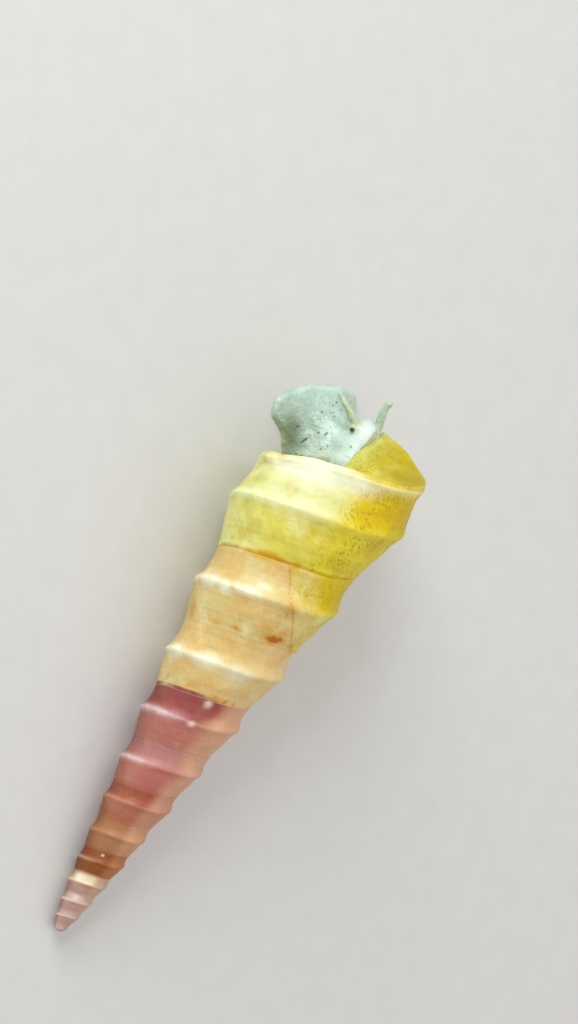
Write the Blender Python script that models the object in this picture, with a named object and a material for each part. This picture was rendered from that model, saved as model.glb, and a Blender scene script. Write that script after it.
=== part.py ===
"""Keeled screw shell with its living animal, crawling on a flat floor, in metres.

The animal heads along -Y, its left is +X, and the floor is z = 0. The origin is
the middle of the sole. The shell is one logarithmic spiral: every whorl is the
one before it, scaled by WHORL_RATIO about the cone's apex.
"""

import math

import bmesh
import bpy
from mathutils import Vector

MM = 0.001
TAU = math.tau

# Gap that touching pieces keep, and how far a corner may stand out for it
GAP = 0.30 * MM
MOST_SHELL_FACTOR = 1.6
SMOOTH_BELOW = math.radians(40.0)

# Shell cone and spiral
KEEL_RADIUS_AT_LIP = 9.93 * MM
CONE_SLOPE = 0.149
WHORL_RATIO = 1.207
LIP_AZIMUTH = math.radians(217.0)
LEAN = math.radians(8.66)
TIP_HEIGHT = 7.8 * MM
TIP_ROUNDING = 1.3 * MM
TIP_WEAR = 0.4
APEX_FROM_SOLE = Vector((2.57, 70.3, -0.14)) * MM

# Facets of the last whorl, and the pieces behind it: name, turns, facets, finish
BODY_FACETS = 36
SPIRE_PIECES = (
    ("shell_penultimate_whorl", 1, 30, "shell_cream"),
    ("shell_spire", 5, 26, "shell_rose"),
    ("shell_apex", 6, 16, "shell_tip"),
)

# Whorl profile: place between keels in turns, then radius over the cone's
SUTURE = 0.455
FLANK = (
    (SUTURE - 1.0, 0.900),
    (-0.42, 0.926),
    (-0.24, 0.968),
    (-0.09, 0.992),
    (-0.025, 1.016),
    (0.020, 1.016),
    (0.085, 0.972),
    (0.190, 0.920),
    (0.320, 0.898),
    (SUTURE, 0.900),
)
# Last whorl past its main keel: hollow band and basal keel, as place in turns,
# radius share where bare, radius share where the whorl is still covered
BARE_BAND = (
    (0.085, 0.975, 0.972),
    (0.190, 0.930, 0.920),
    (0.320, 0.880, 0.898),
    (0.455, 0.862, 0.900),
    (0.500, 0.851, 0.885),
)
BAND_OPENS_OVER = math.radians(60.0)
# Base: radius and height, both over the main keel's
BASE = (
    (0.870, 1.0925),
    (0.680, 1.0800),
    (0.440, 1.0580),
    (0.220, 1.0350),
    (0.110, 1.0050),
)
# Helical cuts between the pieces: gaps left at the suture, depth under the base
SUTURE_GAPS = 1.2
CUT_DROP = 0.30 * MM
CUT_STEP = 0.36 * MM
# Angle that parts the upright faces where one piece ends and the next begins
STEP_GAP = GAP / (0.5 * KEEL_RADIUS_AT_LIP)
COLUMELLA_OVER_CORE = 0.5
# Mouth's hollow: middle as distance from the axis and height, then half-sizes
MOUTH_MIDDLE = Vector((5.35, 64.9)) * MM
MOUTH_HALF = Vector((3.75, 4.75)) * MM
MOUTH_DEPTH = math.radians(22.0)
MOUTH_RINGS = 4

# Foot: along its heading and across it, from the sole's middle
FOOT_TURN = math.radians(23.0)
MARGIN_THICKNESS = 0.60 * MM
# Stations: place along the heading, reach to the left and right, top, its shift
FOOT_STATIONS = (
    (-6.2, 0.7, 0.7, 0.62, 0.0),
    (-5.8, 1.9, 1.9, 1.05, 0.0),
    (-5.0, 2.9, 2.8, 2.10, 0.0),
    (-4.0, 3.7, 3.3, 3.60, 0.0),
    (-2.8, 4.4, 3.7, 5.40, -0.2),
    (-1.4, 4.7, 4.1, 6.20, -0.7),
    (-0.4, 5.1, 4.7, 6.20, -1.2),
    (0.5, 5.8, 5.4, 5.40, -1.5),
    (1.3, 6.75, 5.3, 4.00, -1.7),
    (2.0, 6.75, 5.1, 2.80, -1.5),
    (2.6, 6.50, 5.0, 2.00, -1.2),
)
PROPODIUM_STATIONS = (
    (2.93, 6.45, 5.0, 1.70, -1.0),
    (3.45, 6.35, 5.1, 1.30, -0.7),
    (4.0, 5.05, 5.0, 1.05, -0.4),
    (4.5, 3.9, 4.2, 0.88, -0.2),
    (4.8, 2.5, 3.2, 0.74, 0.0),
    (5.0, 1.3, 2.0, 0.62, 0.0),
)
MOUND_SPREAD = 3.3 * MM
FOOT_SAMPLES = 11
# Shares of the half-width that the flat sole and the raised back reach out to
SOLE_REACH = 0.96
BACK_REACH = 0.95
# Share of the margin's thickness where it bulges out furthest
MARGIN_BULGE = 0.45

# Head end, placed from the sole's middle: centre, half-width, half-height
RING_POINTS = 20
NECK = (
    ((-1.9, 5.2, 7.9), 1.9, 1.7),
    ((-1.6, 4.2, 7.4), 2.6, 2.3),
    ((-1.4, 2.8, 6.9), 2.6, 2.5),
    ((-1.3, 1.3, 6.6), 2.2, 2.3),
    ((-1.4, 0.1, 6.5), 1.8, 1.8),
)
HEAD = (
    ((-1.40, -0.25, 6.50), 1.75, 1.70),
    ((-1.45, -0.80, 6.45), 1.80, 1.65),
    ((-1.50, -1.30, 6.35), 1.60, 1.40),
    ((-1.50, -1.65, 6.25), 1.20, 1.05),
)
SNOUT = (
    ((-1.50, -1.97, 6.15), 1.00, 0.85),
    ((-1.47, -2.40, 5.98), 0.98, 0.82),
    ((-1.43, -2.75, 5.82), 0.80, 0.66),
    ((-1.40, -2.95, 5.74), 0.45, 0.38),
)
TENTACLE_RADIUS = 0.38 * MM
TENTACLE_TIP_RADIUS = 0.24 * MM
TENTACLE_END_SHARE = 0.55
TENTACLES = {
    "tentacle_left": ((0.20, -1.75, 6.30), (1.0, -2.3, 6.15), (1.9, -3.1, 5.75), (2.7, -3.85, 5.30)),
    "tentacle_right": ((-2.85, -1.80, 5.75), (-3.3, -2.8, 6.40), (-2.9, -4.4, 7.05), (-2.35, -5.7, 7.30)),
}
TENTACLE_RINGS = 9
TENTACLE_POINTS = 10
EYE_RADIUS = 0.28 * MM
EYES = {"eye_left": (0.62, -0.95, 6.58), "eye_right": (-3.10, -1.05, 5.58)}

# Operculum: a thin horn disc on the back of the foot
OPERCULUM_RADIUS = 2.3 * MM
OPERCULUM_THICKNESS = 0.50 * MM
OPERCULUM_ALONG = -4.75 * MM
OPERCULUM_HEIGHT = 2.55 * MM
OPERCULUM_PITCH = math.radians(52.0)
OPERCULUM_POINTS = 28
# Its rings: share of the thickness, share of the radius
OPERCULUM_RINGS = ((0.0, 0.97), (0.5, 1.0), (1.0, 0.94))

# Mantle collar inside the mouth
COLLAR_BACK = math.radians(18.0)
COLLAR_FRONT = math.radians(9.0)
COLLAR_ROUNDING = math.radians(3.0)
COLLAR_BEVEL = 0.2 * MM
COLLAR_CLEAR = math.radians(8.0)
PAPILLA_RADIUS = 0.30 * MM
PAPILLA_TIP_RADIUS = 0.14 * MM
PAPILLA_LENGTH = 0.65 * MM
PAPILLA_SIDES = 7
PAPILLAE = 9
PAPILLAE_FROM = 0.5

# Surface finish: colour, roughness
FINISHES = {
    "shell_yellow": ((0.78, 0.66, 0.14), 0.45),
    "shell_cream": ((0.74, 0.60, 0.38), 0.50),
    "shell_rose": ((0.62, 0.30, 0.32), 0.50),
    "shell_tip": ((0.66, 0.42, 0.36), 0.55),
    "flesh": ((0.66, 0.74, 0.70), 0.35),
    "white_flesh": ((0.86, 0.90, 0.84), 0.35),
    "eye": ((0.01, 0.01, 0.01), 0.15),
    "horn": ((0.36, 0.20, 0.08), 0.40),
}

AXIS = Vector((0.0, -math.cos(LEAN), math.sin(LEAN)))
LEFT = Vector((1.0, 0.0, 0.0))
OVER = Vector((0.0, math.sin(LEAN), math.cos(LEAN)))
HEADING = Vector((math.sin(FOOT_TURN), -math.cos(FOOT_TURN), 0.0))
ACROSS = Vector((math.cos(FOOT_TURN), math.sin(FOOT_TURN), 0.0))
UP = Vector((0.0, 0.0, 1.0))


def clear_scene():
    for obj in list(bpy.data.objects):
        bpy.data.objects.remove(obj, do_unlink=True)


def finish(name):
    """The Principled material of one finish."""
    found = bpy.data.materials.get(name)
    if found:
        return found
    colour, roughness = FINISHES[name]
    material = bpy.data.materials.new(name)
    material.use_nodes = True
    shader = material.node_tree.nodes["Principled BSDF"]
    shader.inputs["Base Color"].default_value = (*colour, 1.0)
    shader.inputs["Roughness"].default_value = roughness
    material.diffuse_color = (*colour, 1.0)
    return material


def add_object(name, bm, finish_name):
    """Turns a bmesh into a named object whose faces point out."""
    bmesh.ops.remove_doubles(bm, verts=bm.verts, dist=1e-7)
    bmesh.ops.recalc_face_normals(bm, faces=bm.faces)
    mesh = bpy.data.meshes.new(name)
    bm.to_mesh(mesh)
    bm.free()
    obj = bpy.data.objects.new(name, mesh)
    bpy.context.scene.collection.objects.link(obj)
    mesh.materials.append(finish(finish_name))
    mesh.shade_smooth()
    mesh.set_sharp_from_angle(angle=SMOOTH_BELOW)
    return obj


def smooth_step(x):
    x = min(max(x, 0.0), 1.0)
    return x * x * (3.0 - 2.0 * x)


def on_shell(radius, azimuth, height):
    """A point by its distance from the shell's axis, azimuth and height along it."""
    out = LEFT * math.cos(azimuth) + OVER * math.sin(azimuth)
    return APEX_FROM_SOLE + AXIS * height + out * radius


def growth(azimuth):
    """Size of the whorl at an unwound azimuth, over its size at the lip."""
    return WHORL_RATIO ** ((azimuth - LIP_AZIMUTH) / TAU)


def flank_point(azimuth, turn, share):
    """Radius and height on a whorl's side, a part of a turn from its main keel."""
    keel_height = KEEL_RADIUS_AT_LIP / CONE_SLOPE * growth(azimuth)
    height = keel_height * WHORL_RATIO ** turn
    wear = 1.0 - TIP_WEAR * math.exp(-max(height - TIP_HEIGHT, 0.0) / TIP_ROUNDING)
    return height * CONE_SLOPE * share * wear, height


def base_point(azimuth, radius_share, height_share):
    """Radius and height on the base."""
    keel_radius = KEEL_RADIUS_AT_LIP * growth(azimuth)
    return keel_radius * radius_share, keel_radius / CONE_SLOPE * height_share


def gap_turn(azimuth):
    """The part of a turn that one gap takes up along the axis."""
    return GAP / (KEEL_RADIUS_AT_LIP / CONE_SLOPE * growth(azimuth) * math.log(WHORL_RATIO))


def body_profile(azimuth, first_azimuth):
    """Profile points of the last whorl: its side, the bare band, basal keel and base."""
    opened = smooth_step((azimuth - first_azimuth) / BAND_OPENS_OVER)
    points = [flank_point(azimuth, turn, share) for turn, share in FLANK if turn < BARE_BAND[0][0]]
    for turn, bare, covered in BARE_BAND:
        points.append(flank_point(azimuth, turn, covered + (bare - covered) * opened))
    points += [base_point(azimuth, *pair) for pair in BASE]
    return points


def core_walls(bm, rim, centre_height, core_radius, azimuths, corner):
    """Closes a helical rim round the axis with a wall and a flat disc.

    rim has one point a facet over a whole turn, both ends included. corner says
    which of its ends lies on the wall's upright edge between them.
    """
    count = len(rim) - 1
    ring = [bm.verts.new(on_shell(core_radius, azimuths[i], centre_height)) for i in range(count)]
    middle = bm.verts.new(on_shell(0.0, 0.0, centre_height))
    for i in range(count):
        after = ring[(i + 1) % count]
        wall = [rim[i], rim[i + 1], after, ring[i]]
        if corner == "first" and i == count - 1:
            wall = [rim[i], rim[i + 1], rim[0], after, ring[i]]
        if corner == "last" and i == 0:
            wall = [rim[0], rim[1], after, ring[0], rim[count]]
        bm.faces.new(wall)
        bm.faces.new([middle, ring[i], after])


def helical_cut(bm, edge, azimuths, drop, below):
    """Runs a cut in from a helical edge to the core, along the whorl's base.

    The cut lies a drop under the base of the whorl below it. It returns the
    cut's first and last rows, edge point first, for the upright faces there.
    """
    rows = [edge]
    for radius_share, height_share in BASE[1:]:
        row = []
        for azimuth in azimuths:
            whorl = azimuth if below else azimuth - TAU
            radius, height = base_point(whorl, radius_share, height_share)
            row.append(bm.verts.new(on_shell(radius, azimuth, height - drop)))
        rows.append(row)
    for outer, inner in zip(rows, rows[1:]):
        for i in range(len(edge) - 1):
            bm.faces.new([outer[i], outer[i + 1], inner[i + 1], inner[i]])
    whorl = 0.0 if below else TAU
    heights = [base_point(a - whorl, *BASE[-1])[1] - drop for a in azimuths]
    core = base_point(azimuths[0] - whorl, *BASE[-1])[0]
    if below:
        core_walls(bm, rows[-1], heights[0] - core, core, azimuths, "first")
    else:
        core_walls(bm, rows[-1], heights[-1] + core, core, azimuths, "last")
    return [row[0] for row in rows], [row[-1] for row in rows]


def spiral_piece(name, last_azimuth, turns, facets, finish_name, top_drop, bottom_drop):
    """Whole turns of the spire as one solid between two helical cuts."""
    steps = turns * facets
    azimuths = [last_azimuth - TAU * turns + TAU * i / facets for i in range(steps + 1)]
    rows = len(FLANK) - 1
    bm = bmesh.new()
    grid = {}
    for i, azimuth in enumerate(azimuths):
        for j, (turn, share) in enumerate(FLANK):
            if j == rows and i + facets <= steps:
                continue
            if j == 0 and i <= facets:
                turn += SUTURE_GAPS * gap_turn(azimuth)
            grid[i, j] = bm.verts.new(on_shell(*spread(azimuth, flank_point(azimuth, turn, share))))
    for i in range(steps + 1 - facets):
        grid[i, rows] = grid[i + facets, 0]
    for i in range(steps):
        for j in range(rows):
            bm.faces.new([grid[i, j], grid[i + 1, j], grid[i + 1, j + 1], grid[i, j + 1]])

    edge = [grid[i, 0] for i in range(facets + 1)]
    first, last = helical_cut(bm, edge, azimuths[: facets + 1], bottom_drop, False)
    bm.faces.new([grid[0, j] for j in range(rows)] + last + first[:0:-1])
    edge = [grid[i, rows] for i in range(steps - facets, steps + 1)]
    first, last = helical_cut(bm, edge, azimuths[-facets - 1:], top_drop, True)
    bm.faces.new([grid[steps, j] for j in range(rows)] + last + first[:0:-1])
    return add_object(name, bm, finish_name)


def spread(azimuth, radius_height):
    """Orders a profile point the way on_shell takes it."""
    radius, height = radius_height
    return radius, azimuth, height


def mouth_outline():
    """The mouth's outline at the lip as (radius, height), from the suture round."""
    lip = body_profile(LIP_AZIMUTH, LIP_AZIMUTH - TAU)
    lip[0] = flank_point(LIP_AZIMUTH, FLANK[0][0] + SUTURE_GAPS * gap_turn(LIP_AZIMUTH), FLANK[0][1])
    behind = body_profile(LIP_AZIMUTH - TAU, LIP_AZIMUTH - TAU)
    keel = len(behind) - len(BASE) - 1
    return lip + behind[:keel - 1:-1]


def mouth_ring(drawn_in, behind):
    """An oval ring of the mouth's hollow, made smaller, at an angle behind the lip."""
    half = MOUTH_HALF - Vector((drawn_in, drawn_in))
    azimuth = LIP_AZIMUTH - behind
    size = growth(azimuth)
    ring = []
    for point in mouth_outline():
        ray = (Vector(point) - MOUTH_MIDDLE).normalized()
        place = MOUTH_MIDDLE + ray / math.hypot(ray.x / half.x, ray.y / half.y)
        ring.append(on_shell(place.x * size, azimuth, place.y * size))
    return ring


def body_whorl(name, finish_name):
    """The last whorl: one turn, its base, the columella and the hollow mouth."""
    facets = BODY_FACETS
    azimuths = [LIP_AZIMUTH - TAU + TAU * i / facets for i in range(facets + 1)]
    profiles = [body_profile(a, azimuths[0]) for a in azimuths]
    rows = len(profiles[0]) - 1
    shared = rows - len(BASE) - 1
    bm = bmesh.new()
    grid = {}
    for i, azimuth in enumerate(azimuths):
        for j, point in enumerate(profiles[i]):
            if i == 0 and j == shared:
                continue
            if j == 0:
                point = flank_point(azimuth, FLANK[0][0] + SUTURE_GAPS * gap_turn(azimuth), FLANK[0][1])
            grid[i, j] = bm.verts.new(on_shell(*spread(azimuth, point)))
    grid[0, shared] = grid[facets, 0]
    for i in range(facets):
        for j in range(rows):
            bm.faces.new([grid[i, j], grid[i + 1, j], grid[i + 1, j + 1], grid[i, j + 1]])

    edge = [grid[i, 0] for i in range(facets + 1)]
    first, last = helical_cut(bm, edge, azimuths, CUT_DROP, False)
    bm.faces.new([grid[0, j] for j in range(shared)] + last + first[:0:-1])

    columella = [grid[i, rows] for i in range(facets + 1)]
    core, height = base_point(azimuths[0], *BASE[-1])
    top = height * WHORL_RATIO + COLUMELLA_OVER_CORE * core
    core_walls(bm, columella, top, core, azimuths, "last")

    mouth = [grid[facets, j] for j in range(rows + 1)] + [grid[0, j] for j in range(rows, shared, -1)]
    for k in range(MOUTH_RINGS + 1):
        ring = [bm.verts.new(p) for p in mouth_ring(0.0, MOUTH_DEPTH * k / MOUTH_RINGS)]
        for i, vert in enumerate(mouth):
            after = (i + 1) % len(mouth)
            bm.faces.new([vert, mouth[after], ring[after], ring[i]])
        mouth = ring
    bm.faces.new(mouth)
    return add_object(name, bm, finish_name)


def cut_level(obj, point, normal):
    """Cuts an object flat at a plane and drops what lies behind it."""
    bm = bmesh.new()
    bm.from_mesh(obj.data)
    geometry = bm.verts[:] + bm.edges[:] + bm.faces[:]
    bmesh.ops.bisect_plane(
        bm, geom=geometry, dist=1e-7, plane_co=point, plane_no=normal, clear_inner=True
    )
    open_edges = [edge for edge in bm.edges if edge.is_boundary]
    bmesh.ops.holes_fill(bm, edges=open_edges, sides=0)
    bmesh.ops.recalc_face_normals(bm, faces=bm.faces)
    bm.to_mesh(obj.data)
    bm.free()


def grown(obj, distance):
    """A hidden copy of an object whose surface stands out by a distance."""
    bm = bmesh.new()
    bm.from_mesh(obj.data)
    bm.normal_update()
    moves = [(v, v.normal * distance * min(v.calc_shell_factor(), MOST_SHELL_FACTOR)) for v in bm.verts]
    for vert, move in moves:
        vert.co += move
    mesh = bpy.data.meshes.new(obj.name + "_clearance")
    bm.to_mesh(mesh)
    bm.free()
    copy = bpy.data.objects.new(mesh.name, mesh)
    bpy.context.scene.collection.objects.link(copy)
    return cutter(copy)


def keep_largest(bm):
    """Drops every scrap but the surface with the most volume."""
    left = set(bm.faces)
    pieces = []
    while left:
        piece = {left.pop()}
        edge_of = list(piece)
        while edge_of:
            face = edge_of.pop()
            for edge in face.edges:
                for other in edge.link_faces:
                    if other in left:
                        left.remove(other)
                        piece.add(other)
                        edge_of.append(other)
        pieces.append(piece)
    pieces.sort(key=lambda faces: sum(f.calc_area() for f in faces))
    scraps = [face for piece in pieces[:-1] for face in piece]
    bmesh.ops.delete(bm, geom=scraps, context="FACES")


def combine(obj, others, operation):
    """Applies one Boolean with each of the other objects, then removes them."""
    for other in others:
        modifier = obj.modifiers.new(operation.lower(), "BOOLEAN")
        modifier.operation = operation
        modifier.solver = "EXACT"
        modifier.object = other
    graph = bpy.context.evaluated_depsgraph_get()
    mesh = bpy.data.meshes.new_from_object(obj.evaluated_get(graph))
    obj.modifiers.clear()
    bm = bmesh.new()
    bm.from_mesh(mesh)
    keep_largest(bm)
    bmesh.ops.recalc_face_normals(bm, faces=bm.faces)
    bm.to_mesh(obj.data)
    bm.free()
    obj.data.shade_smooth()
    obj.data.set_sharp_from_angle(angle=SMOOTH_BELOW)
    for other in others:
        bpy.data.objects.remove(other, do_unlink=True)


def loft(name, rings, finish_name):
    """Skins closed rings of equal counts and fills both ends round their middles."""
    bm = bmesh.new()
    verts = [[bm.verts.new(p) for p in ring] for ring in rings]
    count = len(rings[0])
    for near, far in zip(verts, verts[1:]):
        for i in range(count):
            after = (i + 1) % count
            bm.faces.new([near[i], near[after], far[after], far[i]])
    for ring, points in ((verts[0], rings[0]), (verts[-1], rings[-1])):
        middle = bm.verts.new(sum(points, Vector()) / count)
        for i in range(count):
            bm.faces.new([middle, ring[i], ring[(i + 1) % count]])
    return add_object(name, bm, finish_name)


def oval_rings(stations, count):
    """Rings across a line of stations, each facing along the line there."""
    centres = [Vector(centre) * MM for centre, _, _ in stations]
    rings = []
    for i, (_, half_width, half_height) in enumerate(stations):
        ahead = (centres[min(i + 1, len(centres) - 1)] - centres[max(i - 1, 0)]).normalized()
        side = UP.cross(ahead).normalized()
        up = ahead.cross(side)
        rings.append([
            centres[i]
            + side * math.cos(TAU * k / count) * half_width * MM
            + up * math.sin(TAU * k / count) * half_height * MM
            for k in range(count)
        ])
    return rings


def clearance(name, stations):
    """A cutter that stands out from a head piece by one gap all round."""
    wider = [(Vector(c), w + GAP / MM, h + GAP / MM) for c, w, h in stations]
    first, last = wider[0], wider[-1]
    back = (first[0] - wider[1][0]).normalized() * GAP / MM
    ahead = (last[0] - wider[-2][0]).normalized() * GAP / MM
    wider = [(first[0] + back, *first[1:])] + wider[1:-1] + [(last[0] + ahead, *last[1:])]
    return cutter(loft(name + "_clearance", oval_rings(wider, RING_POINTS), "flesh"))


def cutter(obj):
    """Marks an object as a cutter."""
    obj.hide_render = True
    obj.display_type = "WIRE"
    return obj


def foot_ring(along, left, right, mound, shift):
    """One section across the foot: flat sole, thin margins and a raised middle."""
    left, right, mound = left * MM, right * MM, mound * MM
    half_width = 0.5 * (left + right)
    centre = HEADING * along * MM + ACROSS * 0.5 * (left - right)
    edge = MARGIN_THICKNESS
    points = [(-SOLE_REACH * half_width, 0.0), (SOLE_REACH * half_width, 0.0)]
    points.append((half_width, MARGIN_BULGE * edge))
    flat = math.exp(-((half_width / MOUND_SPREAD) ** 2))
    for k in range(FOOT_SAMPLES):
        place = BACK_REACH * (1.0 - 2.0 * k / (FOOT_SAMPLES - 1))
        across = place * half_width
        rise = math.exp(-(((across - shift * MM * (1.0 - place * place)) / MOUND_SPREAD) ** 2))
        height = edge + (mound - edge) * max(rise - flat, 0.0) / (1.0 - flat)
        points.append((across, height))
    points.append((-half_width, MARGIN_BULGE * edge))
    return [centre + ACROSS * across + UP * height for across, height in points]


def bezier(points, share):
    """A point on the curve that four points steer."""
    a, b, c, d = (Vector(p) * MM for p in points)
    rest = 1.0 - share
    return a * rest**3 + b * 3 * rest**2 * share + c * 3 * rest * share**2 + d * share**3


def tentacle(name, points):
    """A tapering feeler with a round tip."""
    stations = []
    for k in range(TENTACLE_RINGS):
        share = k / (TENTACLE_RINGS - 1)
        radius = TENTACLE_RADIUS + (TENTACLE_TIP_RADIUS - TENTACLE_RADIUS) * share
        if k == TENTACLE_RINGS - 1:
            radius *= TENTACLE_END_SHARE
        place = bezier(points, share) / MM
        stations.append((tuple(place), radius / MM, radius / MM))
    return loft(name, oval_rings(stations, TENTACLE_POINTS), "white_flesh")


def operculum(name):
    """A thin round disc that leans on the back slope of the foot."""
    out = (-HEADING * math.sin(OPERCULUM_PITCH) + UP * math.cos(OPERCULUM_PITCH)).normalized()
    down = (-HEADING * math.cos(OPERCULUM_PITCH) - UP * math.sin(OPERCULUM_PITCH)).normalized()
    centre = HEADING * OPERCULUM_ALONG + UP * OPERCULUM_HEIGHT
    rings = []
    for level, share in OPERCULUM_RINGS:
        rings.append([
            centre
            + out * OPERCULUM_THICKNESS * level
            + (ACROSS * math.cos(TAU * k / OPERCULUM_POINTS) + down * math.sin(TAU * k / OPERCULUM_POINTS))
            * OPERCULUM_RADIUS * share
            for k in range(OPERCULUM_POINTS)
        ])
    return loft(name, rings, "horn")


def papilla(index, place, direction):
    """A small cone of the collar's fringe, its root sunk in the collar."""
    bm = bmesh.new()
    bmesh.ops.create_cone(
        bm, cap_ends=True, segments=PAPILLA_SIDES, radius1=PAPILLA_RADIUS,
        radius2=PAPILLA_TIP_RADIUS, depth=PAPILLA_LENGTH * 2.0,
    )
    turn = UP.rotation_difference(direction).to_matrix()
    bmesh.ops.rotate(bm, verts=bm.verts, cent=Vector(), matrix=turn)
    bmesh.ops.translate(bm, verts=bm.verts, vec=place)
    return add_object(f"papilla_{index}", bm, "flesh")


def collar_plug(name, drawn_in, back, front):
    """The collar without its fringe, between two angles behind the lip."""
    rings = [
        mouth_ring(drawn_in, back),
        mouth_ring(drawn_in, front + COLLAR_ROUNDING),
        mouth_ring(drawn_in + COLLAR_BEVEL, front),
    ]
    return loft(name, rings, "flesh")


def mantle_collar(name):
    """The soft collar that fills the mouth behind the lip, with its fringe."""
    collar = collar_plug(name, GAP, COLLAR_BACK, COLLAR_FRONT)
    azimuth = LIP_AZIMUTH - COLLAR_FRONT
    ahead = (OVER * math.cos(azimuth) - LEFT * math.sin(azimuth)).normalized()
    fringe = mouth_ring(GAP + PAPILLA_RADIUS + COLLAR_BEVEL, COLLAR_FRONT)[: len(FLANK) + 1]
    cones = []
    for k in range(PAPILLAE):
        place = PAPILLAE_FROM + (len(fringe) - 1 - 2 * PAPILLAE_FROM) * k / (PAPILLAE - 1)
        low = int(place)
        cones.append(papilla(k, fringe[low].lerp(fringe[low + 1], place - low), ahead))
    combine(collar, cones, "UNION")
    return collar


def eye(name, place):
    bm = bmesh.new()
    bmesh.ops.create_uvsphere(bm, u_segments=10, v_segments=7, radius=EYE_RADIUS)
    bmesh.ops.translate(bm, verts=bm.verts, vec=Vector(place) * MM)
    return add_object(name, bm, "eye")


def shell():
    """The shell's four pieces, cut level where they rest."""
    drops = [CUT_DROP + CUT_STEP * k for k in range(4)]
    body = body_whorl("shell_body_whorl", "shell_yellow")
    pieces = [body]
    end = LIP_AZIMUTH - TAU - STEP_GAP
    for (name, turns, facets, finish_name), top_drop, bottom_drop in zip(
        SPIRE_PIECES, (drops[1], drops[3], drops[3]), (drops[2], drops[2], 0.0)
    ):
        pieces.append(spiral_piece(name, end, turns, facets, finish_name, top_drop, bottom_drop))
        end -= TAU * turns + STEP_GAP / growth(end - TAU * turns)
    cut_level(pieces[-1], APEX_FROM_SOLE + AXIS * TIP_HEIGHT, AXIS)
    for piece in pieces:
        cut_level(piece, Vector(), UP)
    return body


def animal(body):
    """The head end and the foot, each cleared from what it grows from."""
    mantle_collar("mantle_collar")
    neck = loft("neck", oval_rings(NECK, RING_POINTS), "flesh")
    plug = cutter(collar_plug("collar_clearance", 0.0, COLLAR_BACK, COLLAR_FRONT - COLLAR_CLEAR))
    combine(neck, [grown(body, GAP), plug], "DIFFERENCE")
    head = loft("head", oval_rings(HEAD, RING_POINTS), "flesh")
    combine(head, [grown(body, GAP)], "DIFFERENCE")
    loft("snout", oval_rings(SNOUT, RING_POINTS), "white_flesh")
    for name, points in TENTACLES.items():
        combine(tentacle(name, points), [clearance("head", HEAD)], "DIFFERENCE")
    for name, place in EYES.items():
        combine(eye(name, place), [clearance("head", HEAD)], "DIFFERENCE")
    lid = operculum("operculum")
    foot = loft("foot", [foot_ring(*station) for station in FOOT_STATIONS], "flesh")
    cutters = [grown(body, GAP), clearance("neck", NECK), clearance("head", HEAD), grown(lid, GAP)]
    combine(foot, cutters, "DIFFERENCE")
    loft("propodium", [foot_ring(*station) for station in PROPODIUM_STATIONS], "flesh")


def main():
    clear_scene()
    animal(shell())


main()
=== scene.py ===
"""Looks of the keeled screw shell and its living animal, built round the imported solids.

Shapes are worked out in millimetres and turned into metres where a mesh is made.
The shell is one logarithmic spiral. Its azimuth is unwound: it grows by a turn
with each whorl and ends at the lip. age counts turns back from the lip. place
tells where a point lies between two keels, from -0.545 to 0.455 of a turn, and
on the base from 0.5 to 1.
"""

import itertools
import math

import bpy
import numpy as np
from mathutils import Matrix, Vector

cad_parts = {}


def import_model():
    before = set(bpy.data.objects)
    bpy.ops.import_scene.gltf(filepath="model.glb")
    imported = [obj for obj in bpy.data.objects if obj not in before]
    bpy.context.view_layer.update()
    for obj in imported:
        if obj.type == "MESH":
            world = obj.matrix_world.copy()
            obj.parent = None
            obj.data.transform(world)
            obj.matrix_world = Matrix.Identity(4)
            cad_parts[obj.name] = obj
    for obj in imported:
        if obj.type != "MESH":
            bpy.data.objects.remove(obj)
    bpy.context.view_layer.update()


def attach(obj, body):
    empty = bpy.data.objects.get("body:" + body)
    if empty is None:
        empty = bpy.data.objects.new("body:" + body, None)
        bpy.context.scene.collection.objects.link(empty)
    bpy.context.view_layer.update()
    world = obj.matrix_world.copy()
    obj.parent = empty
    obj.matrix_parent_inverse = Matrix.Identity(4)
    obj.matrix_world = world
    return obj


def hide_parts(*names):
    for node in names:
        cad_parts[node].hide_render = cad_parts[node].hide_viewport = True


MM = 0.001
TAU = math.tau

# Shell cone and spiral, as in the solids
KEEL_RADIUS_AT_LIP = 9.93
CONE_SLOPE = 0.149
WHORL_RATIO = 1.207
LIP_AZIMUTH = math.radians(217.0)
LEAN = math.radians(8.66)
APEX = np.array((2.57, 70.3, -0.14))
TIP_HEIGHT = 7.8
TIP_ROUNDING = 1.3
TIP_WEAR = 0.4
TIP_DOME = 0.35
KEEL_HEIGHT_AT_LIP = KEEL_RADIUS_AT_LIP / CONE_SLOPE

# Whorl profile: place in turns, radius over the cone's
SUTURE = 0.455
FLANK = (
    (SUTURE - 1.0, 0.900),
    (-0.42, 0.926),
    (-0.24, 0.968),
    (-0.09, 0.992),
    (-0.025, 1.018),
    (0.020, 1.018),
    (0.085, 0.972),
    (0.190, 0.920),
    (0.320, 0.898),
    (SUTURE, 0.900),
)
KEEL_ROUNDING = 0.016
# How much the last whorl's radius share changes where no later whorl covers it
BARE_CHANGE = (
    (-0.025, 0.0), (0.085, 0.003), (0.19, 0.01), (0.32, -0.018), (0.455, -0.038), (0.5, -0.034),
)
BASAL_KEEL_PLACE = 0.500
BASAL_KEEL_SHARES = {"bare": 0.851, "covered": 0.885}
BAND_OPENS_OVER = 60.0 / 360.0
# Base: radius and height, both over the main keel's
BASE = ((0.870, 1.0925), (0.680, 1.0800), (0.440, 1.0580), (0.220, 1.0350), (0.110, 1.0050), (0.030, 0.9800))
# Where the last whorl's head end stands further forward, and where it is worn back:
# millimetres, radians before the lip, spread
LIP_FLARE = (0.32, 0.36, 0.30)
WORN_EDGE = (0.46, 3.80, 0.42)
FLARE_FROM = 0.30
FLARE_OVER = 0.155
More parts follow.
